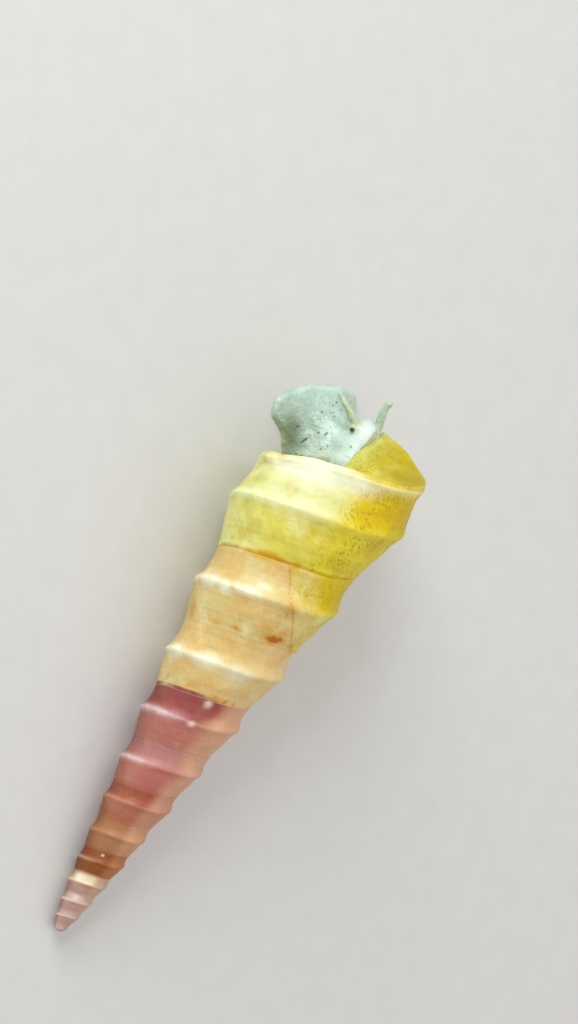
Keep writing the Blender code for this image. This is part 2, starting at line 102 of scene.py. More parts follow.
# Threads that run along the whorl: place, height in millimetres at the lip, width in turns
THREADS = (
    (-0.52, 0.1, 0.012), (-0.44, 0.045, 0.01), (-0.33, 0.06, 0.012), (-0.21, 0.045, 0.01),
    (-0.12, 0.05, 0.01), (0.0, 0.08, 0.016), (0.11, 0.05, 0.01), (0.21, 0.07, 0.012), (0.31, 0.045, 0.01),
    (0.385, 0.06, 0.012),
)
GROOVE_AT_SUTURE = (0.440, 0.16, 0.010)

# Resolution of the shell's grid
AROUND = 360
ROWS = 80
BASE_ROWS = 70
TURNS_TO_TIP = 11.4
TURNS_IN_TIP = 1.5
TIP_CLOSING = 12.0

# Lip: rings that turn in round its edge, as degrees behind the edge and millimetres of wall
LIP_RINGS = (
    (-0.5, 0.1), (-0.7, 0.2), (-0.5, 0.3), (0.3, 0.36), (2.0, 0.42), (6.0, 0.5), (12.0, 0.55),
    (20.0, 0.6), (30.0, 0.6), (42.0, 0.6),
)
LIP_SINUS = 2.6
LIP_SINUS_OVER = math.radians(14.0)
COLUMELLA_RADIUS = 1.16
COLUMELLA_FROM = 50.0
COLUMELLA_TO = 66.3
COLUMELLA_TAPER = 6.5
COLUMELLA_THIN_END = 0.25
COLUMELLA_FOLD = 0.07
COLUMELLA_FOLD_PITCH = 9.0
COLUMELLA_ROWS = 60
COLUMELLA_AROUND = 64

# Cord along the base's edge: height in millimetres, width in turns
CORD_HEIGHT = 0.17
CORD_WIDTH = 0.055
FLOOR_CLEARANCE = 0.01

# A growth line: place and how far back it has run, in turns
GROWTH_LINE = (
    (-0.545, -0.098), (-0.34, -0.054), (-0.13, -0.022), (0.08, 0.016), (0.28, 0.036), (0.453, 0.06),
    (0.8, 0.06),
)
SCAR_AGE = 1.390
SCAR_STEP = 0.10
SCAR_FADES_OVER = 3.0
SCAR_WANDER = 0.0015
# Marks on the shell: age, place, length and width in millimetres, strength
SMEARS = (
    (0.5, -0.525, 4.6, 0.9, 1.0), (1.515, 0.44, 4.6, 0.9, 1.0), (0.434, -0.53, 1.2, 0.7, 0.8),
    (1.434, 0.435, 1.0, 0.7, 0.8), (1.0, -0.52, 2.5, 0.8, 0.6),
)
KNOBS = (
    (1.272, -0.525, 1.2, 1.1, 0.5), (0.632, 0.44, 1.5, 1.4, 0.42), (0.568, 0.472, 1.3, 0.9, 0.16),
    (0.3, -0.3, 1.2, 0.8, 0.14), (0.94, 0.02, 1.0, 0.7, 0.18), (1.12, -0.02, 0.9, 0.7, 0.15),
    (2.25, 0.01, 0.8, 0.6, 0.12), (0.43, -0.27, 2.6, 1.6, 0.1), (0.55, 0.18, 2.2, 1.5, 0.08),
    (1.48, -0.22, 2.2, 1.3, 0.09), (2.52, 0.23, 1.6, 1.0, 0.08),
)
STAINS = (
    (1.441, 0.441, 0.9, 0.6, 0.7), (1.48, -0.462, 1.5, 0.8, 0.7), (1.37, -0.445, 3.0, 1.4, 1.3),
    (1.362, -0.36, 2.2, 1.8, 0.62), (1.31, -0.49, 1.4, 0.8, 0.6), (1.391, -0.036, 1.5, 1.6, 0.5),
    (1.644, -0.353, 1.1, 1.6, 0.66), (1.64, -0.436, 1.0, 1.2, 0.55), (1.543, -0.466, 1.7, 0.8, 0.42),
    (1.537, -0.027, 0.8, 0.8, 0.55), (2.617, -0.418, 1.0, 0.8, 0.6), (2.512, -0.413, 1.8, 0.9, 0.55),
    (2.416, -0.484, 1.8, 0.8, 0.7), (2.388, -0.508, 1.3, 0.9, 0.8), (2.348, -0.521, 0.8, 0.6, 0.6),
    (2.423, 0.421, 1.2, 0.7, 0.35), (1.368, 0.192, 0.6, 0.5, 0.6), (1.9, -0.47, 1.4, 0.8, 0.6),
    (2.15, -0.44, 1.6, 0.9, 0.5), (1.05, -0.5, 1.8, 0.6, 0.6), (2.8, -0.3, 1.3, 1.0, 0.45),
    (1.15, 0.12, 1.1, 0.8, 0.45), (1.76, 0.3, 1.8, 1.0, 0.4), (3.445, -0.429, 1.0, 0.7, 0.3),
    (1.45, 0.3, 4.0, 2.4, 0.26), (1.42, -0.33, 5.0, 2.0, 0.3), (2.4, -0.35, 5.5, 1.8, 0.3),
    (2.48, 0.36, 4.0, 1.6, 0.26),
)
# Worn pale patches and painted highlights on keels and cord, in the columns above
WORN_AND_HIGHLIGHT_MARKS = (
    (1.61, -0.005, 3.2, 1.9, 0.8), (1.553, -0.037, 2.2, 1.5, 0.72), (1.501, 0.019, 3.0, 1.3, 0.75),
    (1.473, 0.12, 1.4, 0.7, 0.8), (2.62, -0.01, 3.2, 2.0, 0.85), (2.508, -0.004, 3.2, 1.6, 0.8),
    (2.411, -0.037, 3.6, 1.9, 0.62), (0.52, 0.405, 11.0, 3.6, 1.12), (0.52, 0.07, 9.5, 2.6, 0.28),
    (0.45, 0.04, 5.0, 1.8, 0.2), (0.42, 0.39, 6.0, 2.2, 0.85), (3.427, 0.384, 0.9, 0.9, 0.75),
    (3.444, -0.013, 0.9, 0.7, 0.75), (7.466, 0.31, 0.4, 0.3, 0.8), (0.75, 0.01, 4.0, 1.1, 0.5),
    (1.0, 0.01, 2.4, 0.9, 0.6), (2.05, 0.005, 2.2, 0.8, 0.6), (8.56, 0.25, 1.3, 0.6, 0.7),
    (1.295, -0.07, 3.0, 1.8, 0.4), (9.48, 0.3, 0.9, 0.7, 0.6), (1.64, 0.08, 2.4, 1.8, 0.35),
)
# Where the last whorl's head edge is worn lower
DENTS = ((0.599, 0.480, 0.9, 1.4, 0.16),)

# Colours of the shell older than its scar, by age: head side of the keel, tail side, right side, and keel
# wear with painted highlight
HEADWARD = (
    (1.3, (0.68, 0.54, 0.2)), (2.6, (0.66, 0.49, 0.19)), (3.05, (0.66, 0.44, 0.24)),
    (3.24, (0.56, 0.28, 0.2)), (3.4, (0.29, 0.052, 0.05)), (3.75, (0.33, 0.085, 0.085)),
    (4.15, (0.46, 0.2, 0.19)), (4.9, (0.45, 0.18, 0.17)), (5.25, (0.31, 0.06, 0.034)),
    (5.9, (0.31, 0.066, 0.034)), (6.25, (0.42, 0.19, 0.085)), (6.9, (0.4, 0.17, 0.07)),
    (7.2, (0.27, 0.064, 0.008)), (7.85, (0.27, 0.072, 0.012)), (8.12, (0.8, 0.66, 0.45)),
    (8.55, (0.82, 0.73, 0.5)), (8.95, (0.47, 0.23, 0.22)), (9.35, (0.6, 0.43, 0.4)),
    (11.6, (0.56, 0.38, 0.35)),
)
TAILWARD = (
    (1.3, (0.68, 0.53, 0.2)), (2.6, (0.7, 0.54, 0.22)), (3.05, (0.68, 0.46, 0.26)),
    (3.24, (0.58, 0.3, 0.21)), (3.42, (0.48, 0.16, 0.135)), (3.8, (0.46, 0.17, 0.16)),
    (4.2, (0.5, 0.15, 0.125)), (4.9, (0.5, 0.17, 0.14)), (5.25, (0.42, 0.13, 0.085)),
    (5.9, (0.42, 0.15, 0.085)), (6.25, (0.41, 0.19, 0.085)), (6.9, (0.38, 0.16, 0.055)),
    (7.2, (0.26, 0.062, 0.008)), (7.85, (0.28, 0.08, 0.018)), (8.2, (0.48, 0.27, 0.23)),
    (8.9, (0.5, 0.3, 0.27)), (11.6, (0.54, 0.36, 0.34)),
)
RIGHTWARD = (
    (1.3, (0.74, 0.58, 0.26)), (2.6, (0.74, 0.58, 0.3)), (3.2, (0.68, 0.4, 0.26)),
    (3.6, (0.62, 0.3, 0.2)), (4.3, (0.64, 0.35, 0.24)), (5.3, (0.56, 0.27, 0.19)),
    (6.3, (0.59, 0.31, 0.18)), (6.9, (0.55, 0.27, 0.15)), (7.3, (0.42, 0.17, 0.07)),
    (7.8, (0.44, 0.19, 0.09)), (8.3, (0.56, 0.38, 0.28)), (11.6, (0.52, 0.34, 0.3)),
)
KEEL_WEAR_AND_HIGHLIGHT = (
    (1.0, (0.82, 0.84, 0.46)), (1.3, (0.88, 0.86, 0.58)), (2.9, (0.86, 0.78, 0.54)),
    (3.3, (0.74, 0.52, 0.52)), (3.9, (0.8, 0.58, 0.6)), (4.2, (0.8, 0.62, 0.58)),
    (4.9, (0.78, 0.58, 0.53)), (5.3, (0.54, 0.21, 0.13)), (6.2, (0.46, 0.23, 0.1)),
    (7.3, (0.36, 0.14, 0.035)), (8.2, (0.84, 0.7, 0.5)), (11.6, (0.68, 0.52, 0.47)),
)
OLDEST = 12.0
YELLOW_PALE = (0.68, 0.70, 0.29)
YELLOW_TAIL = (0.79, 0.70, 0.055)
# Pale green of the left side, partly painted highlight
YELLOW_GREEN_AND_HIGHLIGHT = (0.76, 0.84, 0.36)
YELLOW_DEEP = (0.74, 0.59, 0.010)
BASE_YELLOW = (0.60, 0.61, 0.15)
OCHRE = (0.62, 0.42, 0.002)
BASE_OCHRE = (0.41, 0.33, 0.001)
# Pale cord colour, partly painted highlight
CORD_YELLOW_AND_HIGHLIGHT = (0.88, 0.84, 0.40)
SCAR_CREAM = (0.76, 0.62, 0.24)
# Worn white, partly painted highlight
WORN_WHITE_AND_HIGHLIGHT = (0.90, 0.93, 0.74)
STAIN_BROWN = (0.42, 0.12, 0.006)
STAIN_ORANGE = (0.66, 0.33, 0.060)
BLOTCH_PALE = (0.84, 0.84, 0.48)
BLOTCH_PEACH = (0.74, 0.45, 0.15)
BLOTCH_OCHRE = (0.60, 0.48, 0.020)
# Painted shade for the left edge of older whorls
PAINTED_LEFT_EDGE_SHADE = (0.66, 0.52, 0.46)
SEAM_ORANGE = (0.60, 0.31, 0.002)
PIT_BROWN = (0.40, 0.235, 0.001)
INSIDE_COLOUR = (0.72, 0.60, 0.24)
INSIDE_DEEP = (0.30, 0.20, 0.07)
# Lumps for each metre in the shell's clouds, patches and fine grain
SHELL_CLOUDS = 380.0
SHELL_PATCHES = 900.0
SHELL_GRAIN = 3600.0
CLOUD_SHADE = (0.86, 0.74, 0.52)
PATCH_SHADE = (0.80, 0.76, 0.66)
STREAK_SHADE = (0.82, 0.72, 0.50)
PITS_PER_MM = 3.3
COLUMELLA_YELLOW = (0.76, 0.66, 0.22)
COLUMELLA_DARK = tuple(0.78 * value for value in COLUMELLA_YELLOW)
COLUMELLA_SPECKS = (0.25, 0.22, 0.16)
COLUMELLA_CLOUDS = 1400.0
COLUMELLA_GRAIN = 4000.0

# Foot: along its heading, reach to the left and right, height of the back, its shift
FOOT_TURN = math.radians(23.0)
MARGIN_THICKNESS = 0.60
MARGIN_ROUNDING = 0.45
MOUND_SPREAD = 3.3
FOOT_STATIONS = (
    (-6.2, 0.7, 0.7, 0.62, 0.0), (-5.8, 1.9, 1.9, 1.05, 0.0), (-5.0, 2.9, 2.8, 2.1, 0.0),
    (-4.0, 3.7, 3.3, 3.6, 0.0), (-2.8, 4.4, 3.7, 5.4, -0.2), (-1.4, 4.7, 4.1, 6.2, -0.7),
    (-0.4, 5.1, 4.7, 6.2, -1.2), (0.5, 5.8, 5.4, 5.4, -1.5), (1.3, 6.75, 5.3, 4.0, -1.7),
    (2.0, 6.75, 5.3, 2.8, -1.5), (2.6, 6.5, 5.28, 2.0, -1.2), (2.93, 6.45, 5.3, 1.7, -1.0),
    (3.45, 6.35, 5.4, 1.3, -0.7), (4.0, 5.05, 5.3, 1.05, -0.4), (4.5, 3.9, 4.45, 0.88, -0.2),
    (4.8, 2.5, 3.2, 0.74, 0.0), (5.0, 1.3, 2.0, 0.62, 0.0),
)
# Head end: centre and radius of each link
NECK = (
    ((-1.9, 5.2, 7.9), 1.8),
    ((-1.6, 4.2, 7.4), 2.4),
    ((-1.4, 2.8, 6.9), 2.5),
    ((-1.3, 1.3, 6.6), 2.2),
    ((-1.4, 0.1, 6.5), 1.8),
    ((-1.45, -0.80, 6.45), 1.72),
    ((-1.50, -1.30, 6.35), 1.48),
)
CHEEK = (
    ((-1.6, -0.2, 6.3), 1.5),
    ((-2.6, 0.30, 5.9), 1.5),
    ((-3.0, -0.60, 5.9), 1.2),
    ((-3.1, -1.25, 6.0), 0.75),
)
SNOUT = (
    ((-1.50, -1.30, 6.35), 1.25),
    ((-1.52, -1.85, 6.18), 0.98),
    ((-1.52, -2.20, 6.05), 0.86),
    ((-1.50, -2.45, 5.95), 0.66),
)
TENTACLE_RADII = {"left": (0.54, 0.26), "right": (0.48, 0.42)}
FEELER_BLEND = {"left": 0.50, "right": 0.35}
TENTACLES = {
    "left": (
        (0.00, -1.45, 6.30), (0.80, -2.15, 6.12), (1.55, -2.70, 5.82), (2.24, -3.28, 5.40),
        (2.90, -3.82, 4.92),
    ),
    "right": (
        (-2.94, -1.48, 6.23), (-3.18, -2.43, 6.31), (-2.74, -3.20, 6.45), (-2.32, -3.97, 6.68),
        (-2.08, -4.95, 6.93), (-2.12, -5.55, 7.20),
    ),
}
FOLD_DEPTH = 0.055
TENTACLE_LINKS = 14
EYE_RADIUS = 0.28
EYE_ROWS = 33
EYE_AROUND = 48
EYE_POLE = 0.01
EYES = {"eye_left": (0.62, -0.95, 6.58), "eye_right": (-3.10, -1.05, 5.58)}
FLESH_STEP = 0.075
FLESH_LOW = (-8.0, -7.0, -0.30)
FLESH_HIGH = (8.0, 9.0, 11.5)

MANTLE_BEHIND = math.radians(15.0)
MANTLE_HALF = 0.75

# Flesh colours, and flecks by their place in the photograph, length, width and strength
FLESH_PALE = (0.52, 0.67, 0.59)
FLESH_MINT = (0.37, 0.51, 0.41)
# Darker skin, partly painted shade
FLESH_SHADE = (0.13, 0.165, 0.07)
FLESH_CREAM = (0.56, 0.58, 0.36)
# Pale skin, partly painted highlight
FLESH_WHITE_AND_HIGHLIGHT = (0.71, 0.80, 0.71)
FLESH_RIM = (0.55, 0.50, 0.12)
FLESH_GRAIN = (0.22, 0.30, 0.22)
FEELER_GREEN = (0.40, 0.53, 0.36)
FLECK_COLOUR = (0.045, 0.05, 0.03)
FLESH_CLOUDS = 600.0
FLESH_CELLS = 4200.0
SKIN_GRAIN = 5200.0
FLECK_SLANT = 35.0
FLESH_TINTS = (
    ("shade", FLESH_SHADE), ("cream", FLESH_CREAM), ("pale_and_highlight", FLESH_WHITE_AND_HIGHLIGHT), ("rim", FLESH_RIM),
)
FLECKS = (
    (322.0, 412.0, 3.0, 2.0, 0.9), (333.0, 405.5, 2.5, 1.8, 0.8), (330.0, 403.0, 2.0, 1.5, 0.7),
    (325.0, 403.0, 2.0, 1.5, 0.6), (336.6, 402.4, 2.5, 1.6, 0.8), (340.6, 410.0, 2.5, 1.6, 0.7),
    (330.3, 413.0, 2.4, 1.6, 0.7), (333.2, 412.4, 2.2, 1.5, 0.7), (334.3, 416.5, 2.4, 1.6, 0.7),
    (330.3, 427.0, 2.5, 1.6, 0.7), (325.8, 434.0, 6.0, 2.6, 1.0), (335.0, 427.0, 2.0, 1.5, 0.5),
    (318.4, 432.7, 3.5, 2.0, 0.8), (304.4, 440.3, 10.0, 2.4, 1.0), (310.0, 436.0, 3.5, 2.0, 0.8),
    (297.3, 426.6, -6.0, 1.8, 0.8), (301.5, 455.5, 3.0, 2.0, 0.8), (295.9, 453.7, 3.0, 2.0, 0.7),
    (350.8, 447.0, 3.0, 2.0, 0.8), (327.6, 446.0, 3.0, 2.0, 0.7), (320.5, 449.0, 3.0, 2.0, 0.7),
    (345.9, 429.6, 2.5, 1.6, 0.5),
)

# Broad tints on the flesh by their place in the photograph, half sizes and strength:
# darker skin with painted shade, and pale skin with painted highlight
FLESH_BLOTS = {
    # Darker skin with painted shade on the foot's lower left, and a painted shadow beside the left feeler
    "shade": (
        (292.0, 434.0, 13.0, 24.0, 0.90), (306.0, 415.0, 17.0, 17.0, 0.32), (347.0, 419.0, 2.4, 6.0, 0.45),
        (315.0, 436.0, 14.0, 10.0, 0.25),
    ),
    "rim": ((281.5, 440.0, 3.0, 16.0, 0.60), (283.0, 452.0, 3.0, 6.0, 0.50)),
    "cream": ((351.0, 412.0, 4.0, 9.0, 0.60), (344.0, 400.0, 4.0, 8.0, 0.50), (357.0, 426.0, 5.0, 6.0, 0.70)),
    # Pale snout and neck skin with painted highlight, also over shaded faces next to the shell's lip
    "pale_and_highlight": (
        (368.0, 430.0, 9.0, 9.0, 1.00), (373.0, 440.0, 10.0, 8.0, 0.80), (322.0, 455.0, 26.0, 7.0, 1.00),
        (350.0, 440.0, 18.0, 12.0, 0.50),
    ),
}

# Lid: place along the foot and height, sizes in millimetres, counts of points, tilt in degrees
OPERCULUM_AT = (-4.75, 2.55)
OPERCULUM_RADIUS = 2.18
OPERCULUM_THICKNESS = 0.42
OPERCULUM_TURNS = 9.0
OPERCULUM_RIDGE = 0.09
OPERCULUM_DISH = 0.12
OPERCULUM_BULGE = 0.12
OPERCULUM_WAVE = 0.03
OPERCULUM_ROWS = 140
OPERCULUM_AROUND = 160
OPERCULUM_PITCH = 52.0
HORN_DARK = (0.10, 0.045, 0.012)
HORN_BROWN = (0.36, 0.19, 0.05)
HORN_EDGE = (0.46, 0.30, 0.11)
HORN_SPECKS = (0.16, 0.08, 0.022)
HORN_GRAIN = 2600.0
EYE_CLOUDS = 5000.0
EYE_BLACK = (0.012, 0.011, 0.010)
EYE_BROWN = (0.03, 0.026, 0.02)

AXIS = np.array((0.0, -math.cos(LEAN), math.sin(LEAN)))
LEFT = np.array((1.0, 0.0, 0.0))
OVER = np.array((0.0, math.sin(LEAN), math.cos(LEAN)))
HEADING = np.array((math.sin(FOOT_TURN), -math.cos(FOOT_TURN), 0.0))
ACROSS = np.array((math.cos(FOOT_TURN), math.sin(FOOT_TURN), 0.0))

# Camera: its side of the shell, the axis's angle in the picture, aim and distance
CAMERA_SIDE = math.radians(50.0)
AXIS_IN_PICTURE = math.radians(31.55)
AIM_HEIGHT = 59.95
AIM_ASIDE = -2.32
CAMERA_DISTANCE = 0.35
PICTURE_HEIGHT_AT_AIM = 0.1126
SENSOR = 36.0
PICTURE = (578, 1024)

# Studio: lights by direction, size, power and tint
LIGHT_AIM = (2.0, 25.0, 8.0)
LIGHT_DISTANCE = 0.45
LIGHTS = (
    ("key", (0.73, -0.57, 0.385), 0.26, 1.80, (0.95, 0.99, 1.0)),
    ("overhead", (-0.25, -0.15, 1.0), 0.60, 0.88, (1.0, 0.95, 0.88)),
    ("back", (-0.9, 0.35, 0.45), 0.45, 0.22, (1.0, 0.97, 0.92)),
)
WORLD_TINT = (0.96, 0.97, 1.0)
WORLD_STRENGTH = 0.48
FLOOR_REACH = 3.0
FLOOR_CLOUDS = 300.0
FLOOR_GREY = (0.62, 0.61, 0.59)
FLOOR_PALE = (0.68, 0.67, 0.65)


def smooth_step(x):
    x = np.clip(x, 0.0, 1.0)
    return x * x * (3.0 - 2.0 * x)


def bump(x, width):
    """A soft hill of height one."""
    return np.exp(-((x / width) ** 2))


def noise(points, size, seed):
    """Smooth values from -1 to 1 in space, with lumps of one size."""
    scaled = points / size
    base = np.floor(scaled).astype(np.int64)
    part = scaled - base
    part = part * part * (3.0 - 2.0 * part)
    total = np.zeros(len(points))
    for corner in itertools.product((0, 1), repeat=3):
        cell = base + np.array(corner)
        mixed = cell @ np.array((374761393, 668265263, 2147483629)) + seed * 974634777
        mixed = mixed & 0xFFFFFFFF
        mixed = ((mixed ^ (mixed >> 13)) * 1274126177) & 0xFFFFFFFF
        value = ((mixed ^ (mixed >> 16)) & 0xFFFF) / 32767.5 - 1.0
        weight = np.prod(np.where(np.array(corner) == 1, part, 1.0 - part), axis=1)
        total += value * weight
    return total


def rough(points, size, seed, octaves=3):
    """Noise with finer noise on it."""
    total = np.zeros(len(points))
    for k in range(octaves):
        total += noise(points, size / 2.1**k, seed + k) / 2.0**k
    return total


def growth(azimuth):
    """Size of the whorl at an unwound azimuth, over its size at the lip."""
    return WHORL_RATIO ** ((azimuth - LIP_AZIMUTH) / TAU)


def on_shell(radius, azimuth, height):
    """Points by distance from the shell's axis, azimuth and height along it."""
    out = np.outer(np.cos(azimuth), LEFT) + np.outer(np.sin(azimuth), OVER)
    return APEX + np.outer(height, AXIS) + out * np.asarray(radius)[:, None]


def in_shell(points):
    """The points' distance from the shell's axis, azimuth and height along it."""
    from_apex = points - APEX
    aside, over = from_apex @ LEFT, from_apex @ OVER
    return np.hypot(aside, over), np.arctan2(over, aside), from_apex @ AXIS


def flank_share(place):
    """Radius over the cone's, with the keels rounded."""
    knots, shares = np.array(FLANK).T
    total = np.zeros(np.shape(place))
    weights = 0.0
    for k in range(-3, 4):
        weight = math.exp(-((k / 1.8) ** 2))
        around = (place + k * KEEL_ROUNDING - knots[0]) % 1.0 + knots[0]
        total += weight * np.interp(around, knots, shares)
        weights += weight
    return total / weights


def bare_change(place, opened):
    """What the last whorl's bare side adds to the radius share."""
    places, changes = np.array(BARE_CHANGE).T
    return np.interp(place, places, changes) * opened


def smoothed(values, reach, **ends):
    """A row of values averaged over near ones, carried on past its ends as np.pad does."""
    kernel = np.hanning(2 * reach + 1)
    return np.convolve(np.pad(values, reach, **ends), kernel / kernel.sum(), "valid")


def base_path(opened):
    """The base's profile as radius and height over the keel's, from the suture in."""
    kept = BASAL_KEEL_SHARES
    keel = kept["covered"] + (kept["bare"] - kept["covered"]) * opened
    edge = 0.900 + BARE_CHANGE[-2][1] * opened
    corner = [
        (edge * WHORL_RATIO**SUTURE, WHORL_RATIO**SUTURE),
        (keel * WHORL_RATIO**BASAL_KEEL_PLACE, WHORL_RATIO**BASAL_KEEL_PLACE),
    ]
    points = np.array(corner + list(BASE))
    stretch = np.array((1.0, 1.0 / CONE_SLOPE))
    steps = np.linalg.norm(np.diff(points * stretch, axis=0), axis=1)
    along = np.concatenate(((0.0,), np.cumsum(steps)))
    fine = np.linspace(0.0, along[-1], 600)
    rows = np.linspace(0.0, 1.0, BASE_ROWS + 1) ** 1.15 * (len(fine) - 1)
    columns = []
    for values in points.T:
        curve = smoothed(np.interp(fine, along, values), 12, mode="reflect", reflect_type="odd")
        columns.append(np.interp(rows, np.arange(len(fine)), curve))
    return np.column_stack(columns)


def new_object(name, points, quads):
    """A smooth-shaded mesh object from points in millimetres and quads."""
    mesh = bpy.data.meshes.new(name)
    mesh.vertices.add(len(points))
    mesh.vertices.foreach_set("co", (np.asarray(points) * MM).astype(np.float32).ravel())
    mesh.loops.add(4 * len(quads))
    mesh.loops.foreach_set("vertex_index", np.asarray(quads, np.int32).ravel())
    mesh.polygons.add(len(quads))
    mesh.polygons.foreach_set("loop_start", np.arange(0, 4 * len(quads), 4, dtype=np.int32))
    mesh.update(calc_edges=True)
    mesh.validate()
    mesh.shade_smooth()
    obj = bpy.data.objects.new(name, mesh)
    bpy.context.scene.collection.objects.link(obj)
    return obj


def set_masks(obj, masks):
    """Stores named values on an object's points, for its material to read."""
    for name, values in masks.items():
        layer = obj.data.attributes.new(name, "FLOAT", "POINT")
        layer.data.foreach_set("value", np.asarray(values, np.float32))


def mesh_normals(obj):
    flat = np.zeros(3 * len(obj.data.vertices), np.float32)
    obj.data.vertices.foreach_get("normal", flat)
    return flat.reshape(-1, 3).astype(float)


def move_points(obj, points):
    obj.data.vertices.foreach_set("co", (points * MM).astype(np.float32).ravel())
    obj.data.update()


def grid_quads(index):
    """Quads of a grid of vertex numbers, first axis along, second across."""
    corners = (index[:-1, :-1], index[1:, :-1], index[1:, 1:], index[:-1, 1:])
    return np.stack(corners, axis=-1).reshape(-1, 4)


def tube_quads(rows, around):
    """Quads of rows of points that each run once round."""
    index = np.arange(rows * around).reshape(rows, around)
    return grid_quads(np.column_stack((index, index[:, 0])))[:, ::-1]


def lip_line(place):
    """How far back the lip's edge lies, in radians, for places on its side."""
    sinus = bump(place - 0.12, 0.26) + 0.35 * bump(place + 0.40, 0.10)
    ragged = 0.25 * np.sin(place * 31.0) + 0.18 * np.sin(place * 67.0 + 1.0)
    fade = smooth_step((place - FLANK[0][0]) / 0.06)
    return np.radians(LIP_SINUS) * (sinus + ragged * 0.4) * fade


def lip_flare(azimuth):
    """How much further forward the last whorl's head end stands near the lip."""
    tall, before, spread = LIP_FLARE
    worn, worn_before, worn_spread = WORN_EDGE
    ahead = tall * bump(LIP_AZIMUTH - before - azimuth, spread)
    return ahead - worn * bump(LIP_AZIMUTH - worn_before - azimuth, worn_spread)


def shell_grid():
    """Points, quads, age and place of the whole shell, from the tip to inside the lip."""
    steps = round((TURNS_TO_TIP + TURNS_IN_TIP) * AROUND)
    azimuths = LIP_AZIMUTH - TAU * (steps - np.arange(steps + 1)) / AROUND
    places = SUTURE - 1.0 + np.arange(ROWS + 1) / ROWS
    ages = (LIP_AZIMUTH - azimuths) / TAU

    azimuth = np.repeat(azimuths, ROWS)
    place = np.tile(places[:-1], steps + 1)
    number = np.arange((steps + 1) * ROWS).reshape(steps + 1, ROWS)
    index = np.zeros((steps + 1, ROWS + 1), int)
    index[:, :ROWS] = number
    index[: steps + 1 - AROUND, ROWS] = number[AROUND:, 0]
    last = np.arange(steps + 1 - AROUND, steps + 1)
    index[last, ROWS] = number.size + np.arange(AROUND)
    azimuth = np.concatenate((azimuth, azimuths[last]))
    place = np.concatenate((place, np.full(AROUND, SUTURE)))

    age = (LIP_AZIMUTH - azimuth) / TAU
    opened = smooth_step((1.0 - age) / BAND_OPENS_OVER)
    share = flank_share(place) + bare_change(place, opened)
    height = KEEL_HEIGHT_AT_LIP * growth(azimuth) * WHORL_RATIO**place
    wear = 1.0 - TIP_WEAR * np.exp(-np.maximum(height - TIP_HEIGHT, 0.0) / TIP_ROUNDING)
    radius = height * CONE_SLOPE * share * wear
    inside = height < TIP_HEIGHT
    tip_radius = TIP_HEIGHT * CONE_SLOPE * (1.0 - TIP_WEAR)
    closing = np.clip(height / TIP_HEIGHT, 0.0, 1.0) ** TIP_CLOSING
    radius = np.where(inside, tip_radius * closing * share, radius)
    dome = TIP_HEIGHT - TIP_DOME * np.sqrt(1.0 - np.minimum(closing, 1.0) ** 2)
    height = np.where(inside, dome, height)
    height = height + lip_flare(azimuth) * smooth_step((place - FLARE_FROM) / FLARE_OVER)
    fade = smooth_step((azimuth - LIP_AZIMUTH + LIP_SINUS_OVER) / LIP_SINUS_OVER)
    turned = azimuth - lip_line(place) * fade
    points = on_shell(radius, turned, height)
    quads = [grid_quads(index)]

    rows = np.arange(1, BASE_ROWS + 1)
    covered, bare = base_path(0.0), base_path(1.0)
    base_columns = np.arange(steps - AROUND, steps + 1)
    base_azimuth = np.repeat(azimuths[base_columns], BASE_ROWS)
    base_open = smooth_step((1.0 - np.repeat(ages[base_columns], BASE_ROWS)) / BAND_OPENS_OVER)
    row = np.tile(rows, len(base_columns))
    shape = covered[row] + (bare[row] - covered[row]) * base_open[:, None]
    size = growth(base_azimuth)
    base_height = shape[:, 1] * KEEL_HEIGHT_AT_LIP * size + lip_flare(base_azimuth) * shape[:, 0]
    base_points = on_shell(shape[:, 0] * KEEL_RADIUS_AT_LIP * size, base_azimuth, base_height)
    base_index = np.zeros((AROUND + 1, BASE_ROWS + 1), int)
    base_index[:, 0] = index[base_columns, ROWS]
    base_index[:, 1:] = len(points) + np.arange(row.size).reshape(AROUND + 1, BASE_ROWS)
    quads.append(grid_quads(base_index))
    points = np.concatenate((points, base_points))
    age = np.concatenate((age, (LIP_AZIMUTH - base_azimuth) / TAU))
    place = np.concatenate((place, SUTURE + 0.045 + 0.5 * row / BASE_ROWS))

    chain, line, lip = mouth_chain(index, base_index, points)
    count = len(chain)
    rings = [chain]
    for k, (behind, wall) in enumerate(LIP_RINGS):
        back = np.radians(behind * lip + max(behind, 0.02 * k) * (1.0 - lip))
        keep = 1.0 - smooth_step(back / LIP_SINUS_OVER)
        at = LIP_AZIMUTH - back
        size = growth(at)
        ring = (line[:, :2] + line[:, 2:4] * (lip * wall)[:, None]) * size[:, None]
        rings.append(len(points) + np.arange(count))
        points = np.concatenate((points, on_shell(ring[:, 0], at - line[:, 4] * keep, ring[:, 1])))
        age = np.concatenate((age, np.zeros(count)))
        place = np.concatenate((place, line[:, 5]))
    quads.append(grid_quads(np.array(rings)[:, ::-1]))
    inner = np.zeros(len(points))
    for k, ring in enumerate(rings[3:]):
        inner[ring] = min(1.0, 0.4 + 0.6 * k / (len(rings) - 4))
    mouth = line[:, :2] + line[:, 2:4] * (lip * LIP_RINGS[-1][1])[:, None]
    return points, np.concatenate(quads), age, place, inner, mouth[::3]


